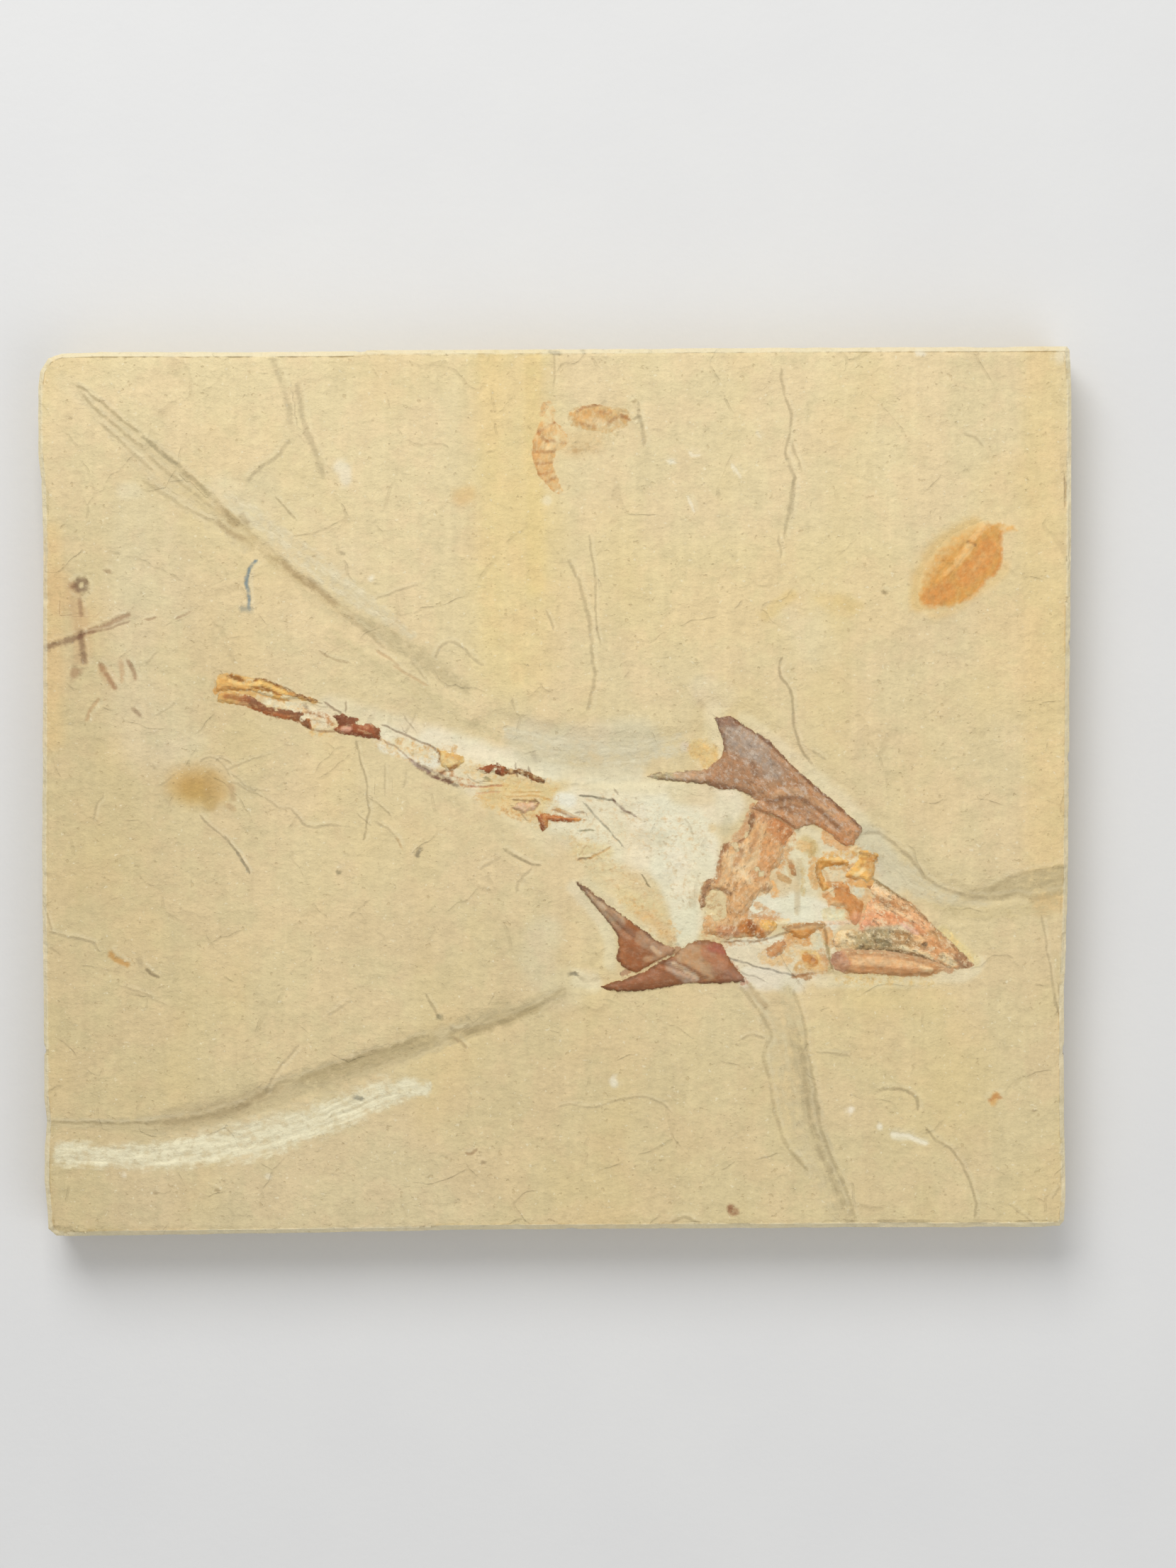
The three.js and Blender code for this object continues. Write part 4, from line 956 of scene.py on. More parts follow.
def stone_grain():
    """Fine-grained limestone: mottling, upright stains, specks, pits and a web of healed cracks."""
    tree, given, out = new_group(
        "stone_grain", {"Place": "Vector", "Bed": "Color"}, {"Color": "Color", "Height": "Float"})
    place = given["Place"]
    lumps = noise(tree, place, 5, 5, 0.65)
    grain = noise(tree, place, 1.1, 6, 0.72)
    stain = noise(tree, place, 1.3, 3, 0.5, (1, 0.06, 1))
    warm = noise(tree, place, 16, 3, 0.5, (1, 0.5, 1))
    weave = noise(tree, place, 0.7, 3, 0.6, (1, 0.3, 1))
    scrape = noise(tree, place, 1.5, 3, 0.6, (0.3, 1, 1))
    value = sway(tree, 1.0, lumps, 0.24)
    value = sway(tree, value, grain, 0.40)
    value = sway(tree, value, stain, 0.14)
    value = sway(tree, value, weave, 0.05)
    value = sway(tree, value, scrape, 0.12)
    rosy = ramp(tree, noise(tree, place, 9, 4, 0.6), 0.42, 0.60)
    olive = blend(tree, 1.0, given["Bed"], (0.985, 0.998, 0.985, 1), "MULTIPLY")
    pink = blend(tree, 1.0, given["Bed"], (1.012, 0.988, 0.985, 1), "MULTIPLY")
    colour = tinted(tree, blend(tree, rosy, olive, pink), value)
    yellow = opaque(228, 200, 136)
    colour = blend(tree, times(tree, ramp(tree, warm, 0.45, 0.75), 0.22), colour, yellow)
    flecks = ramp(tree, noise(tree, place, 0.8, 2), 0.66, 0.74)
    colour = blend(tree, times(tree, flecks, 0.50), colour, opaque(240, 230, 198))
    crumbs = ramp(tree, noise(tree, place, 1.1, 2, 0.5, (1, 1, 1.7)), 0.33, 0.26)
    colour = blend(tree, times(tree, crumbs, 0.30), colour, opaque(176, 150, 104))
    swirl = {"Vector": place, "Scale": 0.06, "Detail": 3.0}
    wander = add(tree, "ShaderNodeTexNoise", swirl).outputs["Color"]
    bent = add(tree, "ShaderNodeVectorMath", {0: wander, 1: (11, 11, 11), 2: place},
               operation="MULTIPLY_ADD").outputs[0]
    web = add(tree, "ShaderNodeTexVoronoi", {"Vector": bent, "Scale": 0.045},
              feature="DISTANCE_TO_EDGE").outputs["Distance"]
    shown = ramp(tree, noise(tree, place, 6, 3), 0.48, 0.62)
    crack = times(tree, ramp(tree, web, 0.016, 0.003), shown)
    colour = blend(tree, times(tree, crack, 0.16), colour, opaque(158, 140, 102))
    tree.links.new(colour, out.inputs["Color"])
    high = plus(tree, plus(tree, grain, crack, -0.5), lumps, 1.8)
    high = plus(tree, high, noise(tree, place, 2.4, 4, 0.6, (0.7, 1, 1)), 2.2)
    high = plus(tree, high, crumbs, -0.30)
    tree.links.new(high, out.inputs["Height"])
    return tree


def brushed_paste():
    """Paste brushed along a break: long streaks, paler and darker, that follow its run."""
    tree, given, out = new_group(
        "brushed_paste", {"Place": "Vector", "Run": "Vector", "Ground": "Color", "Paste": "Color"},
        {"Color": "Color", "Cover": "Float"})
    run = given["Run"]
    parts = add(tree, "ShaderNodeSeparateXYZ", {0: run}).outputs
    flat = add(tree, "ShaderNodeCombineXYZ", {0: parts[0], 1: parts[1]}).outputs[0]
    streaks = noise(tree, flat, 1.2, 4, 0.6, (0.10, 1, 1))
    fine = noise(tree, flat, 0.6, 4, 0.65, (0.12, 1, 1))
    torn = noise(tree, given["Place"], 2.0, 5, 0.68)
    mixed = sway(tree, parts[2], streaks, 1.2)
    mixed = sway(tree, mixed, torn, 2.2)
    cover = times(tree, ramp(tree, mixed, 0.10, 1.05), ramp(tree, parts[2], 0.02, 0.3))
    shade = plus(tree, 0.91, ramp(tree, streaks, 0.38, 0.62), 0.16)
    shade = sway(tree, shade, fine, 0.55)
    shade = sway(tree, shade, torn, 0.35)
    colour = blend(tree, cover, given["Ground"], tinted(tree, given["Paste"], shade))
    specks = ramp(tree, noise(tree, given["Place"], 1.1, 4, 0.7), 0.54, 0.68)
    specks = times(tree, times(tree, specks, cover), 0.30)
    colour = blend(tree, specks, colour, opaque(160, 134, 92))
    tree.links.new(colour, out.inputs["Color"])
    tree.links.new(cover, out.inputs["Cover"])
    return tree


def hairline():
    """One layer of drawn lines over a ground: uneven in width and strength, as cracks are, each with a
    painted highlight in a pale strip along one side.
    """
    tree, given, out = new_group(
        "hairline", {"Place": "Vector", "Seam": "Float", "Ink": "Color", "Strength": "Float",
                     "Ground": "Color", "Height": "Float"},
        {"Color": "Color", "Height": "Float"})
    fray = maths(tree, "SUBTRACT", noise(tree, given["Place"], 0.8, 3, 0.6), 0.5)
    across = plus(tree, given["Seam"], fray, 1.6)
    line = ramp(tree, maths(tree, "ABSOLUTE", across), 1.5, 0.2)
    # lip is a painted highlight: a pale strip along one side of each line, as if that edge caught the light
    lip = times(tree, ramp(tree, across, 0.9, 2.0), ramp(tree, across, 4.5, 2.2))
    breaks = ramp(tree, noise(tree, given["Place"], 2.0, 3, 0.6), 0.28, 0.55)
    shown = times(tree, line, plus(tree, 0.5, breaks, 0.6))
    shown = times(tree, shown, given["Strength"])
    lip = times(tree, lip, times(tree, breaks, given["Strength"]))
    # the painted highlight laid over the ground beside the line
    lit = blend(tree, times(tree, lip, 0.35), given["Ground"], opaque(240, 230, 198))
    tree.links.new(blend(tree, shown, lit, given["Ink"]), out.inputs["Color"])
    tree.links.new(plus(tree, given["Height"], shown, -0.5), out.inputs["Height"])
    return tree


def bone_grain():
    """Mineralised bone: uneven brown, pale crystals and dark pores; and how much of it is left,
    frayed and flaked wherever Cover falls short of 1."""
    tree, given, out = new_group(
        "bone_grain", {"Place": "Vector", "Paint": "Color", "Cover": "Float", "Speckle": "Float",
                       "Crystal": "Color", "Lie": "Float", "Fray": "Float", "Gone": "Float"},
        {"Color": "Color", "Height": "Float", "Cover": "Float"})
    place = given["Place"]
    along = add(tree, "ShaderNodeVectorRotate", {"Vector": place, "Angle": given["Lie"]},
                rotation_type="Z_AXIS").outputs[0]
    lumps = maths(tree, "SUBTRACT", noise(tree, along, 1.7, 4, 0.68, (0.75, 1, 1)), 0.5)
    grain = maths(tree, "SUBTRACT", noise(tree, along, 0.6, 4, 0.7, (0.75, 1, 1)), 0.5)
    value = plus(tree, 0.97, lumps, 0.85)
    value = plus(tree, value, times(tree, grain, given["Speckle"]), 1.2)
    warm = ramp(tree, noise(tree, place, 1.3, 3, 0.6, (1.3, 1, 1)), 0.40, 0.60)
    rusty = blend(tree, 1.0, given["Paint"], (1.04, 0.95, 0.86, 1), "MULTIPLY")
    dusty = blend(tree, 1.0, given["Paint"], (1.0, 1.03, 1.07, 1), "MULTIPLY")
    colour = tinted(tree, blend(tree, warm, dusty, rusty), value)
    sparks = ramp(tree, noise(tree, along, 0.9, 5, 0.75, (0.7, 1, 1)), 0.50, 0.64)
    sparks = times(tree, sparks, given["Speckle"])
    colour = blend(tree, times(tree, sparks, 0.70), colour, given["Crystal"])
    pores = ramp(tree, noise(tree, along, 0.9, 4, 0.65, (0.6, 1, 2.1)), 0.42, 0.33)
    pores = times(tree, pores, given["Speckle"])
    colour = blend(tree, times(tree, pores, 0.45), colour, opaque(112, 78, 52))
    fray = maths(tree, "SUBTRACT", noise(tree, place, 1.0, 5, 0.68), 0.5)
    left = plus(tree, given["Cover"], fray, given["Fray"])
    left = ramp(tree, left, given["Gone"], maths(tree, "SUBTRACT", 1.0, given["Gone"]))
    high = plus(tree, grain, lumps, 0.8)
    high = plus(tree, high, pores, -0.4)
    tree.links.new(colour, out.inputs["Color"])
    tree.links.new(plus(tree, high, left, 0.5), out.inputs["Height"])
    tree.links.new(times(tree, left, ramp(tree, given["Cover"], 0.0, 0.12)),
                   out.inputs["Cover"])
    return tree


STONE_GRAIN = stone_grain()
BONE_GRAIN = bone_grain()
BRUSHED_PASTE = brushed_paste()
HAIRLINE = hairline()


def new_material(name, roughness):
    """A material with a plain rough shader: its tree, the shader and the place in mm."""
    material = bpy.data.materials.new(name)
    material.use_nodes = True
    tree = material.node_tree
    shader = tree.nodes["Principled BSDF"]
    shader.inputs["Roughness"].default_value = roughness
    shader.inputs["Specular IOR Level"].default_value = 0.25
    coordinates = tree.nodes.new("ShaderNodeTexCoord").outputs["Object"]
    scaled = {0: coordinates, "Scale": 1 / MM}
    place = add(tree, "ShaderNodeVectorMath", scaled, operation="SCALE").outputs[0]
    return material, tree, shader, place


def kept(tree, name, output="Color"):
    """What write() left at the vertices under that name."""
    return add(tree, "ShaderNodeAttribute", attribute_name=name).outputs[output]


def finish_surface(tree, shader, colour, height, bump):
    """Wires the colour and the fine height of a surface to its shader; bump is in mm."""
    tree.links.new(colour, shader.inputs["Base Color"])
    inputs = {"Height": height, "Distance": bump * MM, "Strength": 1.0}
    tree.links.new(add(tree, "ShaderNodeBump", inputs).outputs[0], shader.inputs["Normal"])


def limestone():
    """The whole skin of the slab: grain, paste, lines, and the paler broken stone of its edges."""
    material, tree, shader, place = new_material("cream limestone", 0.92)
    stone = put(tree, STONE_GRAIN, {"Place": place, "Bed": kept(tree, "bed")})
    pasted = put(tree, BRUSHED_PASTE, {
        "Place": place, "Run": kept(tree, "paste", "Vector"), "Ground": stone["Color"],
        "Paste": kept(tree, "paste_colour")})
    flakes = put(tree, BONE_GRAIN, {
        "Place": place, "Paint": kept(tree, "stain"), "Cover": kept(tree, "stain", "Alpha"),
        "Speckle": 0.4, "Crystal": opaque(234, 216, 176), "Fray": 2.2, "Gone": 0.22})
    shown = times(tree, flakes["Cover"], 0.85)
    colour, height = blend(tree, shown, pasted["Color"], flakes["Color"]), stone["Height"]
    for number in range(LAYERS):
        drawn = put(tree, HAIRLINE, {
            "Place": place, "Seam": kept(tree, f"seam_{number}", "Fac"),
            "Ink": kept(tree, f"ink_{number}"), "Strength": kept(tree, f"ink_{number}", "Alpha"),
            "Ground": colour, "Height": height})
        colour, height = drawn["Color"], drawn["Height"]
    crumbled = times(tree, noise(tree, place, 1.4, 4, 0.65), 0.9)
    bare = ramp(tree, maths(tree, "ADD", kept(tree, "broken", "Fac"), crumbled), 0.95, 1.55)
    colour = blend(tree, times(tree, bare, 0.6), colour, opaque(234, 224, 192))
    finish_surface(tree, shader, colour, height, 0.22)
    return material


slab_mesh.materials.append(limestone())
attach(slab, "root")
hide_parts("slab")


# The big backward spine over the nape: dense brown bone with a mauve, finely pitted tip, left
# standing proud of the stone. Its root folds over the skull, and a thin prong runs to the tail.
BONE_CELL = 0.30
BONE_MARGIN = 0.65  # how far a bone's skin reaches past its plate's edge
BONE_FOOT = 1.1  # how deep its skirt goes into the stone
THIN_FILM = 0.3  # anything that stands lower than this is a film on the stone
CLEAN_EDGE = 0.4  # a bone that frays over less than this is rounded up from its edge


def bone_finish(name, roughness, speckle, crystal, bump, lie, fray=2.6, gone=0.30):
    """A bone's skin, its streaks lying that many degrees round, thinning out to bare stone where
    the bone is worn away: in torn flakes, or in a breath of colour when fray and gone are small."""
    material, tree, shader, place = new_material(name, roughness)
    stone = put(tree, STONE_GRAIN, {"Place": place, "Bed": kept(tree, "bed")})
    bone = put(tree, BONE_GRAIN, {
        "Place": place, "Paint": kept(tree, "paint"), "Cover": kept(tree, "paint", "Alpha"),
        "Speckle": speckle, "Crystal": opaque(*crystal), "Lie": math.radians(-lie),
        "Fray": fray, "Gone": gone})
    colour = blend(tree, bone["Cover"], stone["Color"], bone["Color"])
    span = {"Value": bone["Cover"], "To Min": 0.92, "To Max": roughness}
    tree.links.new(add(tree, "ShaderNodeMapRange", span).outputs[0], shader.inputs["Roughness"])
    finish_surface(tree, shader, colour, bone["Height"], bump)
    return material


def lay_bone(name, material, proud, crown, ragged, solid, ground, marks, ridges=(), worn=()):
    """A fossil on its CAD plate's outline: it rises out of the stone to its full height over
    crown mm from its edge, which frays over ragged mm, and stains the stone beyond. Marks are
    brushed on its ground colour, ridges raise or sink it, and worn strokes let the stone show."""
    rim = RIMS[name]
    film = proud < THIN_FILM
    low, high = rim.reshape(-1, 2).min(0) - BONE_MARGIN, rim.reshape(-1, 2).max(0) + BONE_MARGIN
    cells = np.ceil((high - low) / BONE_CELL).astype(int)
    plate = bmesh.new()
    bmesh.ops.create_grid(plate, x_segments=int(cells[0]), y_segments=int(cells[1]), size=0.5)
    bmesh.ops.scale(plate, vec=Vector((*(high - low) * MM, 1)), verts=plate.verts)
    middle = (low + high) / 2 * MM
    bmesh.ops.translate(plate, vec=Vector((*middle, FACE_Z * MM)), verts=plate.verts)
    depth = inside(np.array([v.co.xy for v in plate.verts]) / MM, rim)
    plate.verts.index_update()
    gone = [f for f in plate.faces if max(depth[v.index] for v in f.verts) < -BONE_MARGIN + 0.1]
    bmesh.ops.delete(plate, geom=gone, context="FACES")
    border = [e for e in plate.edges if e.is_boundary]
    skirt = bmesh.ops.extrude_edge_only(plate, edges=border)["geom"]
    for vert in (part for part in skirt if isinstance(part, bmesh.types.BMVert)):
        vert.co.z -= BONE_FOOT * MM
    foot = [e for e in plate.edges if e.is_boundary]
    bmesh.ops.holes_fill(plate, edges=foot, sides=0)
    bmesh.ops.recalc_face_normals(plate, faces=plate.faces)
    mesh = bpy.data.meshes.new(name)
    plate.to_mesh(mesh)
    plate.free()

    places = places_of(mesh)
    xy = places[:, :2]
    top = places[:, 2] > FACE_Z - LEVEL
    depth = inside(xy, rim)
    depth += 0.16 * cloud(xy, 0.8, 31) + 0.10 * cloud(xy, 0.45, 32)
    part = np.clip((depth + 0.1) / crown, 0, 1)
    domed = np.sqrt(1 - (1 - part) ** 2)
    rise = proud * (domed if ragged < CLEAN_EDGE else part) - 0.35 * fade(-depth, 0.1, 0.5)
    rise += fade(depth, 0, 0.7) * (0.05 * cloud(xy, 0.9, 33) + 0.06 * cloud(xy, 2.4, 34)) * proud
    for height, half, soft, points in ridges:
        rise += height * stroke(xy, points, half, soft) * fade(depth, -0.6, 0)
    places[top, 2] += (relief(xy) + rise)[top]
    set_places(mesh, places)

    def paint(xy, depth):
        colours = np.tile(earth(*ground), (len(xy), 1))
        brush(colours, unsteady(xy, 0.2, 1.0, 35), marks)
        cover = solid * (fade(depth, -0.5, 0.8 * ragged) if film else fade(depth, -ragged, 0.7 * ragged))
        for strength, half, soft, points in worn:
            cover *= 1 - strength * stroke(xy, points, half, soft)
        return np.column_stack([colours, cover])

    write(mesh, "paint", paint(xy, depth))
    if not film:
        near = close_to(face_xy, rim.reshape(-1, 2), 2)
        soaked = paint(face_xy[near], inside(face_xy[near], rim))
        wins = soaked[:, 3] > stain[near, 3]
        stain[near[wins]] = soaked[wins]
    write_colour(mesh, "bed", stone_colour(xy))
    piece = placed(f"{name}_fossil", mesh)
    mesh.materials.append(material)
    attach(piece, "root")
    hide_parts(name)


NAPE_FOLD = [(39.2, -2.1), (40.8, -3.8), (42.9, -4.3), (45.7, -5.7), (47.4, -7.1)]
lay_bone("upper_spine", bone_finish("mauve brown bone", roughness=0.6, speckle=0.75,
         crystal=(212, 196, 176), bump=0.12, lie=-42), proud=0.95, crown=3.2, ragged=0.3, solid=1.3,
         ground=(172, 132, 96), marks=[
    ((172, 152, 132), 0.9, 2.4, 2.2, [(35.4, 11.6), (38.8, 8.6), (42.4, 5.8)]),
    ((174, 134, 100), 0.8, 2, 1.6, [(29, 4.6), (34, 4.6), (38, 3)]),
    ((172, 128, 90), 0.8, 0.9, 1, [(43.4, 7.4), (47, 4), (50.6, 0.4), (55.4, -4)]),
    ((198, 154, 114), 0.85, 2.2, 1.6, [(45, -4.2), (52, -5), (57.4, -8.4)]),
    ((178, 136, 98), 0.7, 1.6, 1.4, [(39, -0.6), (42, 0.2)]),
    ((160, 122, 86), 0.6, 1.2, 1.2, [(44.4, -2.8), (48.6, -3)]),
    ((206, 166, 124), 0.5, 0.3, 0.5, [(42.8, -0.6), (46, 0.4), (50, -1.2), (54.4, -4.8)]),
    ((146, 106, 76), 0.6, 0.2, 0.4, [(41.6, -2.4), (44.6, -1.4), (47.6, -1.2), (50.6, -2.6), (53.2, -4.8),
        (55.6, -7.2)]),
    ((146, 106, 76), 0.5, 0.16, 0.35, [(44, -3.4), (47, -2.6), (49.8, -4), (52, -5.8)]),
    ((148, 108, 76), 0.45, 0.18, 0.35, [(46, -3.9), (48.6, -4.6), (50.6, -6.2)]),
    ((204, 138, 82), 0.7, 0.5, 0.7, [(51.6, -6.8), (54.6, -8.8), (57.2, -10.4)]),
    ((204, 150, 100), 0.6, 0.8, 0.8, [(57.6, -8.4), (59.2, -9.4)]),
    ((142, 110, 88), 0.9, 1, 0.8, [(31.6, 14.4), (35.2, 13.9)]),
    ((128, 92, 70), 0.6, 0.2, 0.4, [(31.9, 13.6), (32.9, 10.2), (33.3, 8.2)]),
    # painted shade: the dark line down the spine's right edge, on the side turned from the light
    ((126, 88, 62), 0.85, 0.16, 0.34, [(35.2, 13.9), (40, 11), (44, 7.6), (48.4, 3.2), (55, -2.4),
        (60.2, -7.2)]),
    ((206, 170, 136), 0.4, 0.16, 0.34, [(39.8, 10.2), (43.6, 7), (47.8, 2.7), (54.2, -3.2)]),
    ((130, 94, 66), 0.6, 0.3, 0.5, [(38.6, 5.4), (39.2, 3.2)]),
    ((128, 92, 66), 0.6, 0.35, 0.5, [(30.4, 1.6), (33, 0.8), (36.6, 0.2), (38.8, -0.6)]),
    ((186, 172, 132), 0.9, 0.9, 0.6, [(18.4, 3), (24.4, 3.1)]),
    ((196, 164, 130), 0.8, 0.8, 0.6, [(24.4, 3.1), (28.6, 3.3)]),
    ((124, 98, 72), 0.8, 0.12, 0.3, [(19.2, 3.7), (24.4, 4), (28.4, 4.2)]),
    ((128, 104, 76), 0.75, 0.12, 0.3, [(20.4, 2.5), (25.4, 2.1), (30.2, 1.6)]),
    ((138, 90, 60), 0.7, 0.3, 0.5, [(38.2, -4.1), (39.6, -2.4)]),
    ((200, 154, 112), 0.9, 0.7, 0.9, NAPE_FOLD),
], ridges=[
    (0.75, 0.1, 0.6, NAPE_FOLD), (0.3, 0.4, 0.9, [(42, -1), (47, 0.2), (52, -2.4), (57, -7.6)]),
    (-0.15, 0.3, 0.6, [(42, -2.6), (47.4, -2), (52.8, -5.4), (55.6, -7.6)]),
    (-0.15, 0.2, 0.5, [(44, -3.6), (47.4, -3.2), (51, -5.4)]),
    (0.2, 0.4, 0.8, [(38.5, 10), (44, 5.6), (54, -4)]), (-0.2, 0.5, 1.2, [(35, 7.8), (40.4, 2.6)]),
], worn=[(-0.9, 0.9, 0.8, NAPE_FOLD)])


# The shoulder girdle: a broad rough band of tan bone down the back of the head, flaked along its
# tail side. Its foot turns forward under the gill and is stained bright orange.
lay_bone("shoulder_girdle", bone_finish("flaked tan bone", roughness=0.75, speckle=0.85,
         crystal=(232, 208, 170), bump=0.16, lie=63), proud=0.65, crown=1, ragged=0.8, solid=1,
         ground=(216, 176, 126), marks=[
    ((200, 154, 112), 0.85, 1.6, 1.6, NAPE_FOLD),
    ((236, 206, 158), 0.75, 0.9, 1.4, [(35.2, -13.4), (37.6, -16.6)]),
    ((200, 134, 82), 0.8, 1.2, 1.4, [(43.4, -7.2), (45.6, -9)]),
    ((208, 146, 90), 0.6, 1, 1.4, [(42, -10.4), (41.6, -13.6), (39.8, -16)]),
    ((214, 168, 116), 0.7, 1.4, 1.4, [(36.4, -19.4), (35.2, -24)]),
    ((226, 190, 140), 0.6, 0.3, 0.6, [(38.4, -9.4), (37.4, -12.4)]),
    ((232, 200, 150), 0.6, 0.4, 0.7, [(39.4, -12.2), (38.6, -14.6)]),
    ((178, 130, 88), 0.55, 0.3, 0.6, [(39.6, -8.2), (38.4, -11.4)]),
    ((180, 128, 86), 0.55, 0.3, 0.6, [(36.4, -11.6), (35.4, -14.4)]),
    ((230, 200, 152), 0.7, 0.4, 0.6, [(42.3, -18.2), (43.7, -20.2)]),
    ((138, 94, 62), 0.8, 0.5, 0.6, [(38.6, -4.9), (37.9, -7), (36.4, -9.4)]),
    ((148, 102, 68), 0.8, 0.5, 0.6, [(33.6, -10.4), (32.6, -11.5), (32, -13.2)]),
    ((170, 122, 84), 0.6, 0.4, 0.6, [(32, -13.4), (32, -15.4), (31.6, -17.5)]),
    ((136, 94, 66), 0.75, 0.3, 0.5, [(30.3, -17.3), (29.2, -19.2), (28.8, -23)]),
    ((160, 118, 82), 0.7, 0.3, 0.5, [(29.2, -19), (31.6, -19.2), (34.5, -20)]),
    ((150, 106, 72), 0.5, 0.2, 0.4, [(41, -18.8), (42.5, -19.6)]),
    ((232, 216, 170), 0.9, 1.2, 0.8, [(31.6, -20.8), (31.4, -23.8)]),
    ((212, 168, 116), 0.85, 0.7, 0.7, [(30.3, -25), (30.8, -28)]),
    ((192, 138, 98), 0.85, 0.7, 0.8, [(32.6, -27.2), (35.4, -27.4)]),
    ((186, 120, 60), 0.9, 1, 0.8, [(37.4, -26.4), (39.8, -28)]),
    ((138, 82, 44), 0.8, 0.5, 0.5, [(38.2, -26), (38.8, -26.8)]),
    ((222, 176, 98), 0.9, 0.8, 0.6, [(41.4, -26), (43, -26.4)]),
    ((110, 74, 48), 0.7, 0.25, 0.4, [(32, -29.2), (35, -29.5)]),
    ((230, 206, 152), 0.8, 0.3, 0.4, [(34.6, -29.2), (39.6, -29.4)]),
], ridges=[
    (0.6, 0.1, 0.6, NAPE_FOLD), (0.25, 0.8, 1.4, [(40, -8), (39, -14), (36, -22)]),
    (-0.2, 0.3, 0.7, [(36, -12), (35, -18)]),
], worn=[
    (-0.9, 0.9, 0.8, NAPE_FOLD), (0.9, 0.9, 0.7, [(31.6, -21), (31.4, -24)]),
    (0.6, 0.3, 0.5, [(35.2, -10.4), (35.6, -11.6)]), (0.6, 0.4, 0.7, [(39.6, -15.2), (40.4, -16.2)]),
])


# The roof of the skull: a bent bar behind the eye and a broken block over the snout, both thin
# ochre bone stained by iron.
OCHRE_FINISH = bone_finish("ochre bone", roughness=0.75, speckle=0.45, crystal=(238, 214, 160), bump=0.1,
                           lie=-8)

lay_bone("skull_bar", OCHRE_FINISH, proud=0.45, crown=0.6, ragged=0.6, solid=1,
         ground=(218, 166, 92), marks=[
    ((188, 128, 54), 0.85, 0.3, 0.5, [(52.4, -13.9), (57.4, -14.2)]),
    ((226, 168, 94), 0.8, 0.6, 0.6, [(52, -15.2), (52.2, -18)]),
    ((240, 208, 140), 0.7, 0.2, 0.4, [(53, -13.2), (57, -13.4)]),
    ((170, 128, 76), 0.7, 0.3, 0.4, [(51.2, -14.4), (51.2, -17.2), (52, -19)]),
])
lay_bone("skull_block", OCHRE_FINISH, proud=0.6, crown=0.7, ragged=0.7, solid=1,
         ground=(232, 186, 108), marks=[
    ((218, 172, 110), 0.8, 0.7, 0.7, [(61.8, -14), (62.4, -16.6)]),
    ((194, 134, 66), 0.75, 0.2, 0.4, [(60.2, -13.2), (63, -13.5)]),
    ((200, 142, 74), 0.65, 0.2, 0.4, [(60, -14.5), (62.8, -14.8)]),
    ((242, 216, 160), 0.8, 0.25, 0.4, [(58.5, -16.8), (60.5, -15.2)]),
    ((150, 106, 58), 0.7, 0.2, 0.35, [(59.7, -12), (63.3, -12.7), (63.6, -14)]),
    ((198, 140, 74), 0.7, 0.4, 0.5, [(57.6, -16.8), (59.6, -17.4)]),
])


# The cheek plate in front of the eye, and the two small bones of the gill cover below it: thin
# smooth plates, red-brown where they are whole.
lay_bone("cheek_plate", bone_finish("red brown plate", roughness=0.62, speckle=0.35,
         crystal=(232, 196, 150), bump=0.1, lie=-50), proud=0.6, crown=0.8, ragged=0.7, solid=1,
         ground=(210, 154, 94), marks=[
    ((204, 140, 80), 0.8, 0.9, 0.8, [(56.2, -20.2), (59.4, -23)]),
    ((226, 164, 122), 0.75, 0.9, 0.9, [(59, -25), (60, -26.6)]),
    ((230, 196, 146), 0.6, 0.3, 0.6, [(54.2, -21.8), (56.6, -22.6)]),
    ((168, 112, 64), 0.55, 0.2, 0.4, [(54.6, -18.9), (57.2, -18.9), (58, -20)]),
])
GILL_FINISH = bone_finish("brown gill bone", roughness=0.68, speckle=0.4, crystal=(230, 200, 150),
                          bump=0.1, lie=10)
lay_bone("gill_bar", GILL_FINISH, proud=0.45, crown=0.6, ragged=0.7, solid=0.95,
         ground=(200, 152, 96), marks=[
    ((200, 138, 68), 0.85, 0.7, 0.7, [(47, -27.8), (49.4, -28.2)]),
    ((214, 180, 130), 0.8, 0.3, 0.5, [(46.5, -26.7), (52.4, -26.1)]),
    ((150, 108, 70), 0.6, 0.2, 0.35, [(44.6, -27), (48.4, -26.2), (52.4, -25.8)]),
])
lay_bone("gill_plate", GILL_FINISH, proud=0.45, crown=0.9, ragged=1, solid=0.85,
         ground=(212, 164, 112), marks=[
    ((196, 138, 88), 0.7, 0.5, 0.8, [(43.4, -31.6), (44.8, -29.8)]),
    ((168, 112, 70), 0.6, 0.2, 0.4, [(41.6, -31.2), (43, -29.7), (45, -29.2)]),
])


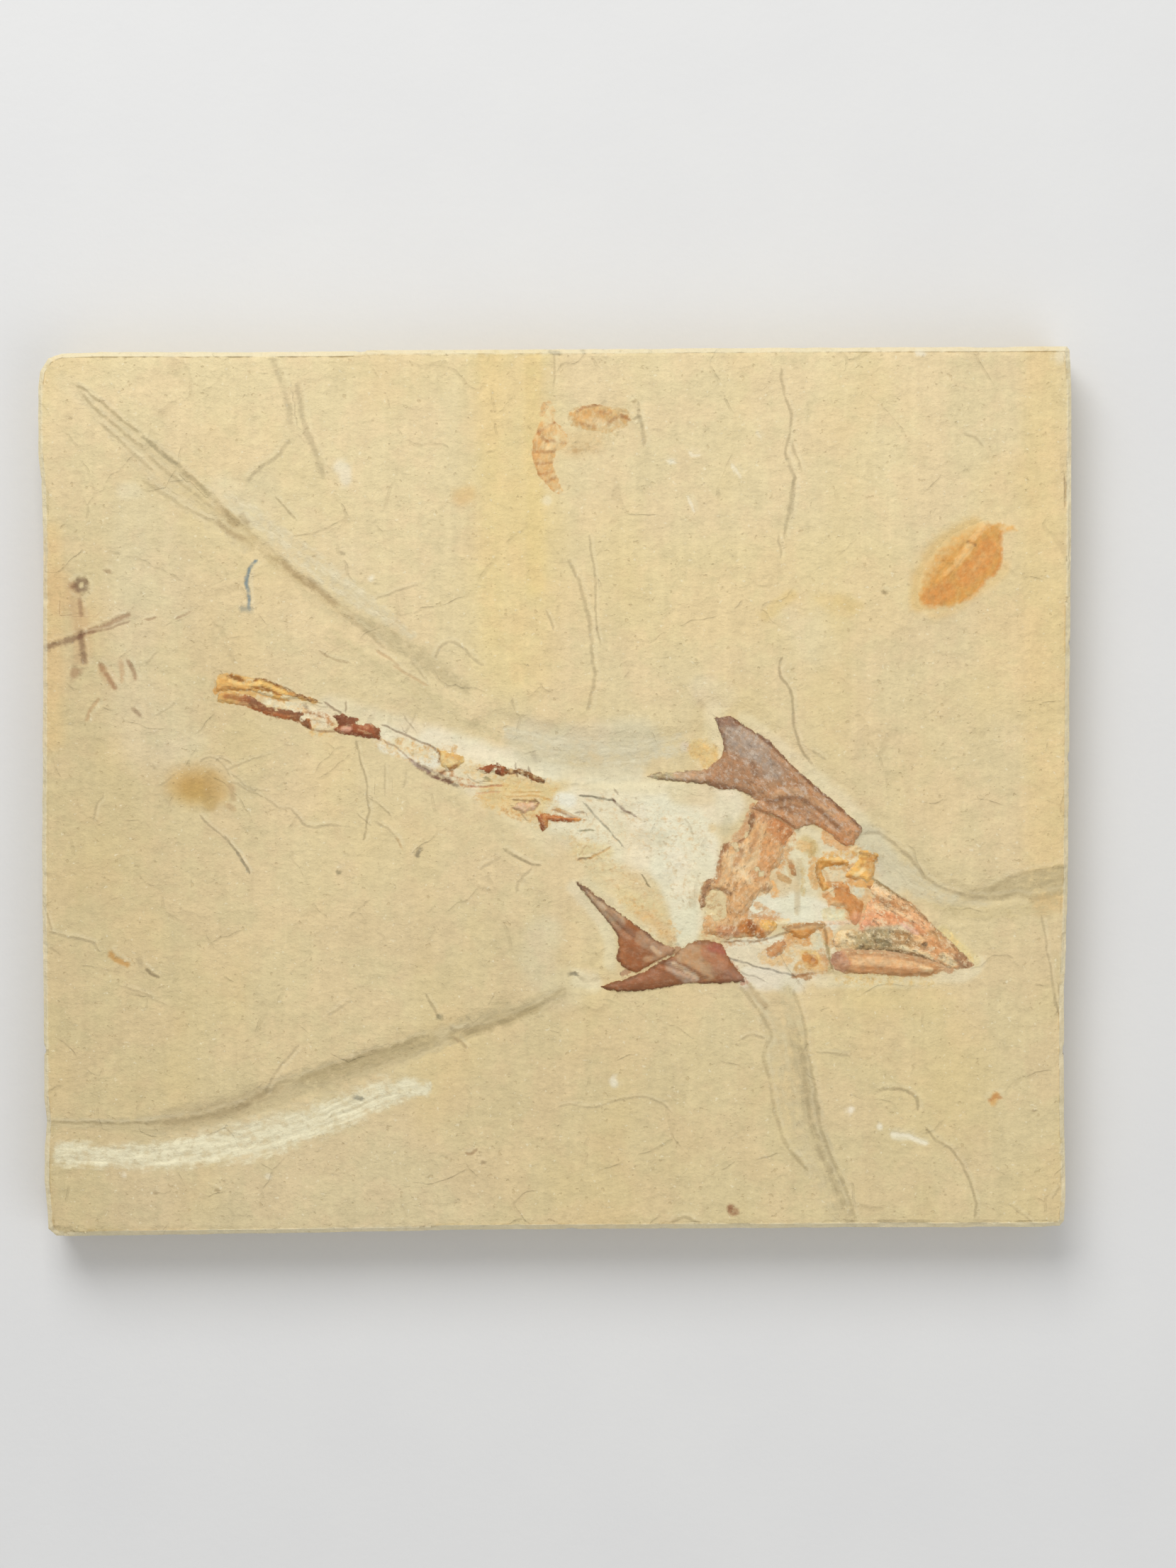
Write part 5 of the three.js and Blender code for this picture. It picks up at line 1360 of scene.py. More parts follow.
# The snout: a long rough wedge. Smooth pink bone runs along its top edge, and below it lies a
# crushed grey-green strip of fine teeth and grains down to the tooth row.
lay_bone("snout", bone_finish("crushed pink bone", roughness=0.68, speckle=1,
         crystal=(240, 220, 178), bump=0.18, lie=-31), proud=1.05, crown=2.4, ragged=0.6, solid=1,
         ground=(222, 176, 128), marks=[
    ((238, 208, 162), 0.8, 1, 1, [(62.6, -18.6), (64.6, -20.2)]),
    ((234, 180, 132), 0.8, 1.4, 1.4, [(62, -22.6), (66.4, -24), (71.4, -26.8)]),
    ((228, 164, 118), 0.75, 1, 1, [(59.6, -25.6), (63, -24.8), (67, -25.4)]),
    ((226, 160, 124), 0.6, 0.8, 0.9, [(58.6, -26.4), (61.6, -26.6)]),
    ((206, 188, 150), 0.9, 0.8, 0.7, [(61.4, -27.6), (65, -27.6), (67.6, -27)]),
    ((228, 204, 154), 0.9, 1.8, 1.2, [(57.2, -28.8), (59.8, -30)]),
    ((172, 154, 112), 0.85, 1.5, 1.3, [(60.6, -29.4), (64, -29.2), (68, -29.6)]),
    ((112, 104, 74), 0.5, 0.4, 0.5, [(62.4, -28.8), (64.4, -29.6)]),
    ((116, 106, 76), 0.45, 0.4, 0.5, [(64.6, -30.4), (66.4, -29.2)]),
    ((112, 96, 66), 0.6, 0.2, 0.3, [(57.6, -28.2), (58.4, -28.8)]),
    ((112, 96, 66), 0.6, 0.2, 0.3, [(59.4, -30.6), (60.6, -30.2)]),
    ((184, 144, 96), 0.85, 1.2, 1, [(67.4, -28.6), (74, -29)]),
    ((244, 200, 144), 0.8, 0.4, 0.5, [(70.5, -28.6), (72, -28.9)]),
    ((240, 206, 156), 0.7, 0.35, 0.6, [(63, -22.4), (66.4, -23.4), (69.4, -25.2)]),
    ((236, 190, 160), 0.8, 0.3, 0.5, [(68, -25.9), (70.7, -27.7)]),
    ((212, 142, 94), 0.65, 0.3, 0.5, [(63.6, -23.6), (68, -24.8), (72.4, -27.8)]),
    ((176, 126, 78), 0.75, 0.3, 0.5, [(63.1, -20.8), (65, -22)]),
    ((176, 126, 78), 0.75, 0.3, 0.5, [(65.9, -21.7), (68.6, -23.3)]),
    ((228, 170, 116), 0.85, 0.9, 0.9, [(73.6, -29.4), (76.2, -31.6)]),
    ((240, 220, 172), 0.85, 0.3, 0.4, [(68, -30.6), (70.6, -31.4), (73.5, -32.5)]),
    ((132, 104, 70), 0.75, 0.2, 0.35, [(67.6, -31.3), (70.6, -32), (73.6, -33.2)]),
    ((236, 216, 168), 0.8, 0.6, 0.6, [(76, -32.4), (78, -33.6)]),
    ((90, 70, 48), 0.8, 0.25, 0.3, [(72, -29.9), (72.4, -30)]),
    ((90, 70, 48), 0.7, 0.25, 0.3, [(77.9, -29.9), (78.1, -30.1)]),
    ((196, 150, 104), 0.75, 0.7, 0.8, [(76.4, -30), (79, -32.4)]),
    ((146, 124, 84), 0.85, 0.3, 0.4, [(62.8, -17.6), (65.5, -19.1), (68.4, -21)]),
    ((156, 116, 72), 0.6, 0.2, 0.4, [(68.4, -21), (72.6, -24.8), (76.3, -28.3), (80.8, -32.4)]),
    ((122, 100, 66), 0.7, 0.2, 0.36, [(59, -31.1), (63.4, -31.2), (67.2, -31.6)]),
    ((130, 100, 68), 0.6, 0.2, 0.36, [(73, -33), (77.4, -34.6)]),
    ((168, 126, 90), 0.9, 0.8, 0.7, [(79.2, -32.7), (81.4, -34.2)]),
], ridges=[
    (0.25, 0.5, 0.8, [(63, -20.4), (68, -23.6), (74, -29)]),
    (-0.3, 0.4, 0.8, [(58, -28.4), (64, -27.6), (70, -29.2)]),
    (-0.2, 0.3, 0.5, [(62.6, -22.2), (68.6, -24.6)]),
    (0.2, 0.3, 0.5, [(60, -30.4), (68, -30.6), (76, -33)]),
])


# The lower jaw: a straight rod of smooth tan bone under the tooth row, with a rounded purple
# joint at its back end.
lay_bone("lower_jaw", bone_finish("smooth jaw bone", roughness=0.5, speckle=0.45,
         crystal=(236, 204, 160), bump=0.09, lie=-4), proud=0.95, crown=1.7, ragged=0.4, solid=1.1,
         ground=(216, 170, 120), marks=[
    # painted highlight: the paler band along the top of the round rod
    ((226, 186, 136), 0.7, 0.4, 0.8, [(59, -33.2), (66, -33.6), (72.6, -34.4)]),
    ((212, 156, 106), 0.7, 0.5, 0.7, [(58, -34.8), (66, -35), (74, -35.2)]),
    ((190, 144, 112), 0.9, 1.4, 0.9, [(55.3, -32.6), (56, -33.8)]),
    ((150, 108, 84), 0.6, 0.4, 0.7, [(54.2, -32.8), (55.4, -31.7)]),
    # painted shade: the dark line along the rod's lower edge
    ((164, 120, 74), 0.75, 0.18, 0.35, [(57, -35.3), (61, -35.8), (66.4, -36), (74, -35.6)]),
    ((166, 124, 84), 0.55, 0.16, 0.36, [(57.6, -31.8), (63.4, -31.9), (69.6, -32.8), (75.4, -34.6)]),
    # painted highlight near the rod's front end
    ((238, 212, 164), 0.8, 0.25, 0.4, [(71.5, -34.4), (73.5, -34.9)]),
], ridges=[
    (0.15, 0.4, 0.8, [(58, -33.4), (66, -34), (74, -35)]),
    (-0.2, 0.2, 0.5, [(57.8, -32), (58.2, -34), (58, -35.6)]),
])


# The two lower spines, crossed behind the girdle's foot: hard glossy red-brown bone. The upper
# one thins to a pale prong that points at the tail; the lower one carries the broad hip end.
SPINE_FINISH = bone_finish("red brown spine", roughness=0.5, speckle=0.3, crystal=(200, 164, 134),
                           bump=0.09, lie=-15)

lay_bone("pectoral_spine", SPINE_FINISH, proud=0.85, crown=2.2, ragged=0.3, solid=1.3,
         ground=(152, 98, 58), marks=[
    ((156, 100, 62), 0.8, 1.8, 1.2, [(14, -29), (15, -33.4)]),
    ((178, 142, 110), 0.9, 1, 0.9, [(17, -28.6), (20, -30.6), (23, -31.4)]),
    ((188, 160, 128), 0.9, 1.2, 0.9, [(4.6, -18.2), (8.4, -21.6), (12.2, -25.4)]),
    ((204, 180, 146), 0.6, 0.3, 0.6, [(6.4, -20), (9.8, -22.8), (12.8, -26)]),
    ((170, 128, 96), 0.7, 0.7, 0.9, [(12.6, -26.4), (14.4, -28)]),
    ((112, 82, 60), 0.8, 0.16, 0.34, [(4.2, -17.7), (8.4, -20.6), (12.6, -23.6), (18.2, -27.8),
        (21.2, -29.9)]),
    ((114, 80, 58), 0.75, 0.16, 0.34, [(4.4, -18.3), (8.2, -22.9), (11.6, -27), (12.4, -28.6)]),
    ((124, 84, 58), 0.55, 0.25, 0.45, [(10.4, -23.2), (12.8, -25.6), (15.2, -28)]),
    ((120, 76, 50), 0.6, 0.16, 0.4, [(12.3, -30), (12.3, -33), (14.4, -35)]),
    ((222, 196, 160), 0.7, 0.25, 0.45, [(19.2, -30.6), (20.4, -31.6)]),
    ((196, 160, 122), 0.6, 0.3, 0.5, [(18, -32.8), (21, -32.2)]),
    ((182, 124, 82), 0.4, 0.25, 0.6, [(13, -29), (13.6, -33)]),
], ridges=[(0.2, 0.3, 0.7, [(6, -19.8), (12, -25), (18, -29.4)]), (-0.2, 0.2, 0.5, [(10, -24), (14, -28)])])
lay_bone("pelvic_spine", SPINE_FINISH, proud=0.9, crown=2.4, ragged=0.3, solid=1.3,
         ground=(146, 95, 58), marks=[
    ((150, 98, 64), 0.8, 1.4, 1, [(12.4, -38.2), (17, -37.2), (21, -36)]),
    ((168, 110, 72), 0.6, 0.4, 0.7, [(17, -36.2), (21, -34.6)]),
    ((186, 148, 108), 0.9, 1.5, 1.2, [(25.4, -31.4), (28.4, -32.4), (31, -34)]),
    ((194, 158, 118), 0.6, 0.6, 0.9, [(24, -32), (26.6, -33.4), (30.2, -36.2)]),
    ((176, 122, 88), 0.85, 1.2, 1, [(30.2, -31.4), (32.4, -33.4)]),
    ((172, 94, 76), 0.6, 0.6, 0.7, [(30.8, -30.4), (32.8, -31)]),
    # painted sheen: a pale glossy reflection across the spine
    ((194, 168, 142), 0.8, 0.6, 0.8, [(22.6, -34.2), (25, -35.8), (26.8, -37)]),
    ((128, 92, 66), 0.7, 0.16, 0.34, [(20, -33.2), (24, -34.6), (28.6, -36.8)]),
    ((128, 92, 66), 0.6, 0.14, 0.3, [(21.8, -33), (25.4, -34.2), (29.8, -36.4)]),
    ((218, 196, 162), 0.6, 0.2, 0.4, [(23.2, -33.7), (26, -35.2), (28, -36.6)]),
    ((152, 112, 88), 0.8, 0.8, 0.8, [(34.2, -35.6), (36.4, -37.2)]),
    ((150, 104, 76), 0.6, 0.6, 0.9, [(31.6, -35.2), (33.4, -36.8)]),
    # painted shade: the dark line along the spine's lower edge
    ((112, 74, 48), 0.85, 0.18, 0.36, [(9.2, -38.7), (12.5, -39.2), (16.3, -39.1), (20.8, -38.6),
        (24, -38), (28.5, -37.7), (36.6, -37.4)]),
    ((122, 84, 56), 0.6, 0.14, 0.34, [(9.2, -38.3), (15.4, -36.4), (20.8, -33.4), (24, -31.5)]),
    ((140, 106, 72), 0.5, 0.2, 0.4, [(23, -31.4), (27, -29.4), (30.6, -29.7)]),
], ridges=[
    (0.25, 0.3, 0.6, [(20, -34), (26, -36.2)]), (-0.25, 0.2, 0.5, [(21, -33.4), (29, -36.8)]),
    (0.2, 0.6, 1, [(12, -38.2), (20, -36.4)]),
])


# What is left of the backbone, one vertebra near the tail, and the scutes along the belly: small
# crumbs of dark bone, hardly thicker than a fingernail.
DARK_FINISH = bone_finish("dark crumbled bone", roughness=0.62, speckle=0.55, crystal=(226, 190, 140),
                          bump=0.12, lie=-18)

lay_bone("backbone", DARK_FINISH, proud=0.5, crown=0.5, ragged=0.5, solid=0.95,
         ground=(150, 92, 50), marks=[
    ((150, 80, 42), 0.9, 0.7, 0.5, [(-14.6, 4.4), (-12.6, 4.6), (-10.6, 4.2)]),
    ((104, 60, 40), 0.7, 0.3, 0.4, [(-11.2, 5.2), (-10.9, 3.4)]),
    ((120, 92, 58), 0.8, 0.3, 0.4, [(-9.4, 4.2), (-6.6, 3.9), (-2, 2)]),
    ((222, 196, 146), 0.7, 0.22, 0.3, [(-8.5, 3.9), (-8.4, 4.3)]),
    ((222, 196, 146), 0.6, 0.2, 0.28, [(-6.4, 3.9), (-6.3, 3.4)]),
    ((222, 196, 146), 0.6, 0.2, 0.28, [(-4, 3), (-3.9, 2.6)]),
], worn=[(0.8, 0.25, 0.4, [(-15.2, 3.9), (-14, 3.8)]), (0.7, 0.2, 0.3, [(-12.2, 3.7), (-11.8, 4.3)])])
lay_bone("tail_vertebra", OCHRE_FINISH, proud=0.5, crown=0.8, ragged=0.6, solid=0.85,
         ground=(220, 186, 118), marks=[
    ((232, 208, 152), 0.7, 0.7, 0.8, [(-21.4, 6.2), (-19.8, 6.4)]),
    ((206, 158, 88), 0.7, 0.3, 0.5, [(-21, 7.2), (-18.6, 6.6)]),
    ((150, 102, 62), 0.8, 0.3, 0.4, [(-23, 8), (-22.6, 6.6), (-22.8, 5.8)]),
    ((150, 96, 56), 0.8, 0.3, 0.4, [(-21.6, 4.2), (-20.4, 4.1), (-19.4, 5)]),
])
lay_bone("belly_scute", DARK_FINISH, proud=0.45, crown=0.6, ragged=0.6, solid=0.85,
         ground=(206, 170, 128), marks=[
    ((128, 84, 58), 0.85, 0.25, 0.3, [(-7.9, -2.4), (-5.6, -2.4), (-3.5, -2.2)]),
    ((134, 92, 66), 0.7, 0.3, 0.4, [(-4.4, -2.6), (-3.8, -3.4)]),
    ((226, 190, 152), 0.9, 0.9, 0.6, [(-6.8, -3.4), (-4.4, -3.4)]),
    ((150, 112, 78), 0.6, 0.18, 0.3, [(-8.2, -3.4), (-6.2, -4.3)]),
])
lay_bone("belly_spine", DARK_FINISH, proud=0.5, crown=0.5, ragged=0.5, solid=0.9,
         ground=(186, 130, 74), marks=[
    ((162, 90, 52), 0.85, 0.5, 0.5, [(-3.2, -5.2), (-2.6, -7)]),
    ((122, 66, 42), 0.7, 0.3, 0.4, [(-2.5, -6.6), (-2.3, -7.8)]),
    ((190, 118, 68), 0.8, 0.4, 0.4, [(-1.4, -5.2), (3, -5.5)]),
    ((222, 156, 86), 0.7, 0.3, 0.4, [(3.4, -5.6), (6.4, -5.6)]),
    ((140, 66, 40), 0.6, 0.14, 0.3, [(-0.6, -5.6), (3.6, -5.8)]),
])


# The tail: a dark red root, and a fin of two lobes whose rays are golden films above and red-
# brown bone below, spread flat in the stone and thinning out at their ends.
lay_bone("tail_root", DARK_FINISH, proud=0.65, crown=1, ragged=0.5, solid=1,
         ground=(152, 90, 54), marks=[
    ((120, 72, 46), 0.85, 0.7, 0.6, [(-43, 14.2), (-40.6, 14), (-38.8, 13.2)]),
    ((156, 88, 54), 0.85, 0.8, 0.8, [(-39, 11.9), (-36.4, 12), (-35, 11.6)]),
    # painted highlight: a pink glint on the root
    ((222, 168, 140), 0.85, 0.35, 0.4, [(-41.4, 12.3), (-40.2, 12.2)]),
    ((124, 74, 50), 0.8, 0.35, 0.5, [(-42.2, 11.4), (-39.6, 10.9), (-35.6, 10.4)]),
    ((120, 80, 52), 0.7, 0.3, 0.4, [(-35, 12.2), (-34.2, 10.6)]),
    ((206, 150, 110), 0.6, 0.2, 0.35, [(-38.4, 13.2), (-36.6, 12.4)]),
], worn=[(0.8, 0.25, 0.4, [(-43.6, 12.6), (-42.8, 13)]), (0.6, 0.2, 0.3, [(-38.6, 13.4), (-37.6, 13.2)])])

UPPER_RAYS = [
    ((140, 92, 40), 0.9, 0.34, 0.4, [(-64, 22.8), (-63.2, 22.6), (-61.2, 21.6)]),
    ((130, 84, 38), 0.95, 0.42, 0.4, [(-58.6, 22), (-56.2, 21.7), (-54.6, 20.9)]),
    ((146, 94, 38), 0.95, 0.36, 0.4, [(-58.8, 20.6), (-56, 19.6), (-53.2, 18.4)]),
    ((160, 104, 52), 0.65, 0.22, 0.35, [(-64.8, 20.6), (-61.6, 20.2), (-58.6, 19.4)]),
    ((240, 204, 132), 0.85, 0.22, 0.35, [(-63.6, 21.6), (-60.4, 20.8), (-57.6, 20.9)]),
    ((238, 196, 116), 0.85, 0.25, 0.35, [(-57.8, 21.4), (-54.6, 20.2), (-51.6, 18.9)]),
    ((238, 190, 110), 0.8, 0.22, 0.35, [(-58.8, 19.6), (-55.6, 18.9), (-52.8, 18.1)]),
    ((232, 186, 110), 0.7, 0.22, 0.35, [(-66.4, 21.2), (-63.4, 20.9), (-60.2, 20)]),
    ((196, 140, 72), 0.6, 0.2, 0.3, [(-66, 20.2), (-62.4, 19.9)]),
    ((206, 146, 86), 0.6, 0.25, 0.4, [(-51.8, 19.2), (-49.2, 18.6)]),
    ((118, 76, 46), 0.85, 0.22, 0.3, [(-50.6, 18.9), (-49.2, 18.6), (-47.8, 17.8)]),
    ((124, 84, 50), 0.7, 0.12, 0.26, [(-54.6, 21.1), (-51.4, 19.5), (-46.2, 17.5)]),
]
lay_bone("upper_fin_lobe", bone_finish("golden fin rays", roughness=0.7, speckle=0.4,
         crystal=(242, 212, 150), bump=0.1, lie=-18), proud=0.4, crown=0.5, ragged=0.6, solid=1.1,
         ground=(214, 171, 102), marks=UPPER_RAYS,
         ridges=[(0.14, 0.2, 0.3, points) for colour, _, _, _, points in UPPER_RAYS if colour[0] > 200],
         worn=[
    (0.95, 0.9, 0.7, [(-67.6, 22), (-67.5, 19.6)]), (0.8, 0.25, 0.4, [(-57.8, 19.4), (-55.4, 19)]),
    (0.7, 0.2, 0.4, [(-53.4, 18.6), (-50.4, 18.1)]), (0.5, 0.3, 0.5, [(-60.6, 21.4), (-59, 21.6)]),
])
lay_bone("lower_fin_lobe", bone_finish("red brown fin rays", roughness=0.62, speckle=0.35,
         crystal=(232, 190, 130), bump=0.1, lie=-18), proud=0.4, crown=0.5, ragged=0.5, solid=0.95,
         ground=(178, 122, 76), marks=[
    ((216, 174, 102), 0.8, 1, 1.4, [(-66.6, 18.4), (-63.2, 18.4)]),
    ((132, 84, 52), 0.9, 0.5, 0.5, [(-60.4, 17.6), (-56.4, 15.8), (-50.4, 14.6)]),
    ((128, 90, 68), 0.8, 0.2, 0.34, [(-59.6, 18.4), (-56.2, 16.7), (-52, 15.9), (-49.8, 15.5)]),
    ((184, 110, 64), 0.7, 0.22, 0.36, [(-60.6, 16.8), (-56.4, 15.2), (-52, 14.4)]),
    ((150, 92, 52), 0.7, 0.3, 0.4, [(-64.4, 18.6), (-61.6, 18.2), (-60, 17.6)]),
    ((228, 186, 128), 0.6, 0.14, 0.28, [(-62.6, 17.6), (-59.4, 16.6)]),
    ((120, 78, 50), 0.8, 0.3, 0.4, [(-49.8, 15.2), (-48.8, 13.6), (-48.2, 12.4)]),
    ((128, 84, 54), 0.6, 0.16, 0.3, [(-52, 13.9), (-49.4, 12.8)]),
], worn=[(0.9, 0.9, 0.8, [(-67.4, 19), (-67.2, 17)]), (0.6, 0.3, 0.5, [(-49.4, 13.9), (-48.9, 14.6)])])


# The small shrimp over the fish: only a thin rusty film of its curled tail and, apart from it,
# its shell, pressed flat and half rubbed away.
FILM_FINISH = bone_finish("rusty film", roughness=0.86, speckle=0.4, crystal=(238, 214, 168), bump=0.06,
                          lie=70, fray=2, gone=0.05)

lay_bone("shrimp_tail", FILM_FINISH, proud=0.2, crown=1.2, ragged=0.5, solid=0.85,
         ground=(220, 182, 124), marks=[
    ((214, 168, 108), 0.7, 0.6, 0.8, [(-2, 72.4), (-3.4, 69.4), (-3.6, 66), (-2.6, 62.6)]),
    ((198, 142, 84), 0.7, 0.2, 0.4, [(-4.3, 70.2), (-4.6, 66), (-3.4, 61.8), (-0.6, 58.6), (1, 58)]),
    ((170, 118, 74), 0.75, 0.16, 0.3, [(-2.9, 70.5), (-0.8, 71.7), (0, 72.3)]),
    ((170, 118, 74), 0.7, 0.16, 0.3, [(-3, 70.2), (-2.2, 69), (-1, 68.4), (2.2, 68.3)]),
    ((178, 126, 78), 0.65, 0.14, 0.3, [(-4.4, 66.8), (-2.4, 66.2), (0.2, 66.6)]),
    ((178, 126, 78), 0.65, 0.14, 0.3, [(-4.2, 64.4), (-2.4, 64), (-0.6, 64.4)]),
    ((178, 126, 78), 0.6, 0.14, 0.3, [(-3.4, 62.2), (-2, 62), (-0.6, 62.6)]),
    ((178, 126, 78), 0.6, 0.14, 0.3, [(-2.2, 60.6), (-0.8, 60.8), (0.2, 61.2)]),
    ((232, 204, 152), 0.6, 0.5, 0.8, [(-1.2, 73), (-1.6, 71.4)]),
    ((232, 204, 152), 0.5, 0.4, 0.6, [(-2, 67.4), (0.6, 67.6)]),
], ridges=[
    (0.1, 0.3, 0.4, [(-4, 65.4), (-1, 65.4)]), (0.1, 0.3, 0.4, [(-3.4, 63.2), (-1, 63.4)]),
], worn=[
    (0.5, 1, 1.4, [(-1, 75.4), (-1.6, 73.6)]), (0.45, 0.6, 1, [(0.2, 69.8), (1.4, 68.8)]),
    (0.4, 0.5, 0.8, [(0.9, 58.4)]),
])
lay_bone("shrimp_shell", FILM_FINISH, proud=0.2, crown=1.2, ragged=0.5, solid=0.9,
         ground=(210, 176, 120), marks=[
    ((216, 172, 112), 0.7, 0.9, 1, [(3.6, 73), (6.4, 73.6), (8.6, 73.4)]),
    ((166, 116, 74), 0.75, 0.16, 0.3, [(4.3, 74.6), (6.8, 75.6), (9.2, 75.7)]),
    ((172, 124, 80), 0.6, 0.3, 0.5, [(10.4, 71.8), (12, 73)]),
    ((164, 112, 72), 0.65, 0.25, 0.4, [(13.2, 73.6), (14.6, 72.9)]),
    ((176, 128, 84), 0.5, 0.2, 0.4, [(5.2, 72), (8, 71.2)]),
    ((176, 128, 84), 0.5, 0.2, 0.4, [(8.4, 74.2), (11, 74.2)]),
    ((234, 208, 160), 0.5, 0.4, 0.7, [(7, 72.4), (9.6, 72.2)]),
], worn=[(0.45, 0.6, 1, [(9, 71), (12.4, 71.6)]), (0.4, 0.5, 0.9, [(3, 72.6)])])


# The oval shell at the right: an orange film, brushed out on its left side and torn on its right,
# with a scratched pale streak down its middle.
lay_bone("oval_shell", bone_finish("orange film", roughness=0.82, speckle=0.3,
         crystal=(238, 196, 126), bump=0.06, lie=42, fray=1.2, gone=0.02), proud=0.2, crown=1.6, ragged=1.5,
         solid=1.1, ground=(212, 160, 88), marks=[
    ((212, 148, 84), 0.7, 1.2, 1.6, [(80.6, 42), (83, 44.6), (85, 47.6)]),
    ((206, 142, 80), 0.6, 1.2, 1.6, [(73.6, 37.6), (76.6, 39.4)]),
    ((222, 176, 108), 0.6, 0.8, 1.6, [(72, 42), (76, 47.6), (82, 51.8)]),
    ((226, 182, 112), 0.6, 0.6, 1, [(86.8, 51.4), (90.8, 51)]),
    ((208, 138, 72), 0.55, 0.3, 0.6, [(87.6, 50.4), (87.6, 46), (86.4, 42.6), (83.4, 39.6)]),
    ((234, 190, 126), 0.9, 0.3, 0.5, [(83.8, 52.2), (82.8, 50.2), (81.8, 49.4)]),
    ((136, 96, 60), 0.7, 0.22, 0.3, [(80.9, 48.7), (82.2, 48.3)]),
    ((232, 190, 126), 0.9, 0.5, 0.5, [(81.3, 48), (80.2, 46.6), (79, 45)]),
    ((230, 184, 118), 0.8, 0.2, 0.5, [(79.4, 45.4), (78, 43.8), (76.3, 42.6)]),
    ((226, 180, 116), 0.5, 0.3, 0.7, [(84.2, 46.4), (82.4, 43.6)]),
    ((200, 140, 80), 0.5, 0.2, 0.4, [(80.6, 44.6), (78.8, 42.6)]),
], ridges=[
    (0.14, 0.4, 0.5, [(83.6, 52), (81.4, 48.4), (76.4, 42.4)]),
], worn=[
    (0.45, 0.8, 2.6, [(71.4, 41), (74, 46.4), (79, 50.8), (84, 53)]),
    (0.35, 0.4, 1, [(71.6, 36), (76, 35.6)]), (0.4, 0.3, 0.7, [(87.4, 51.6), (90, 50.4)]),
])


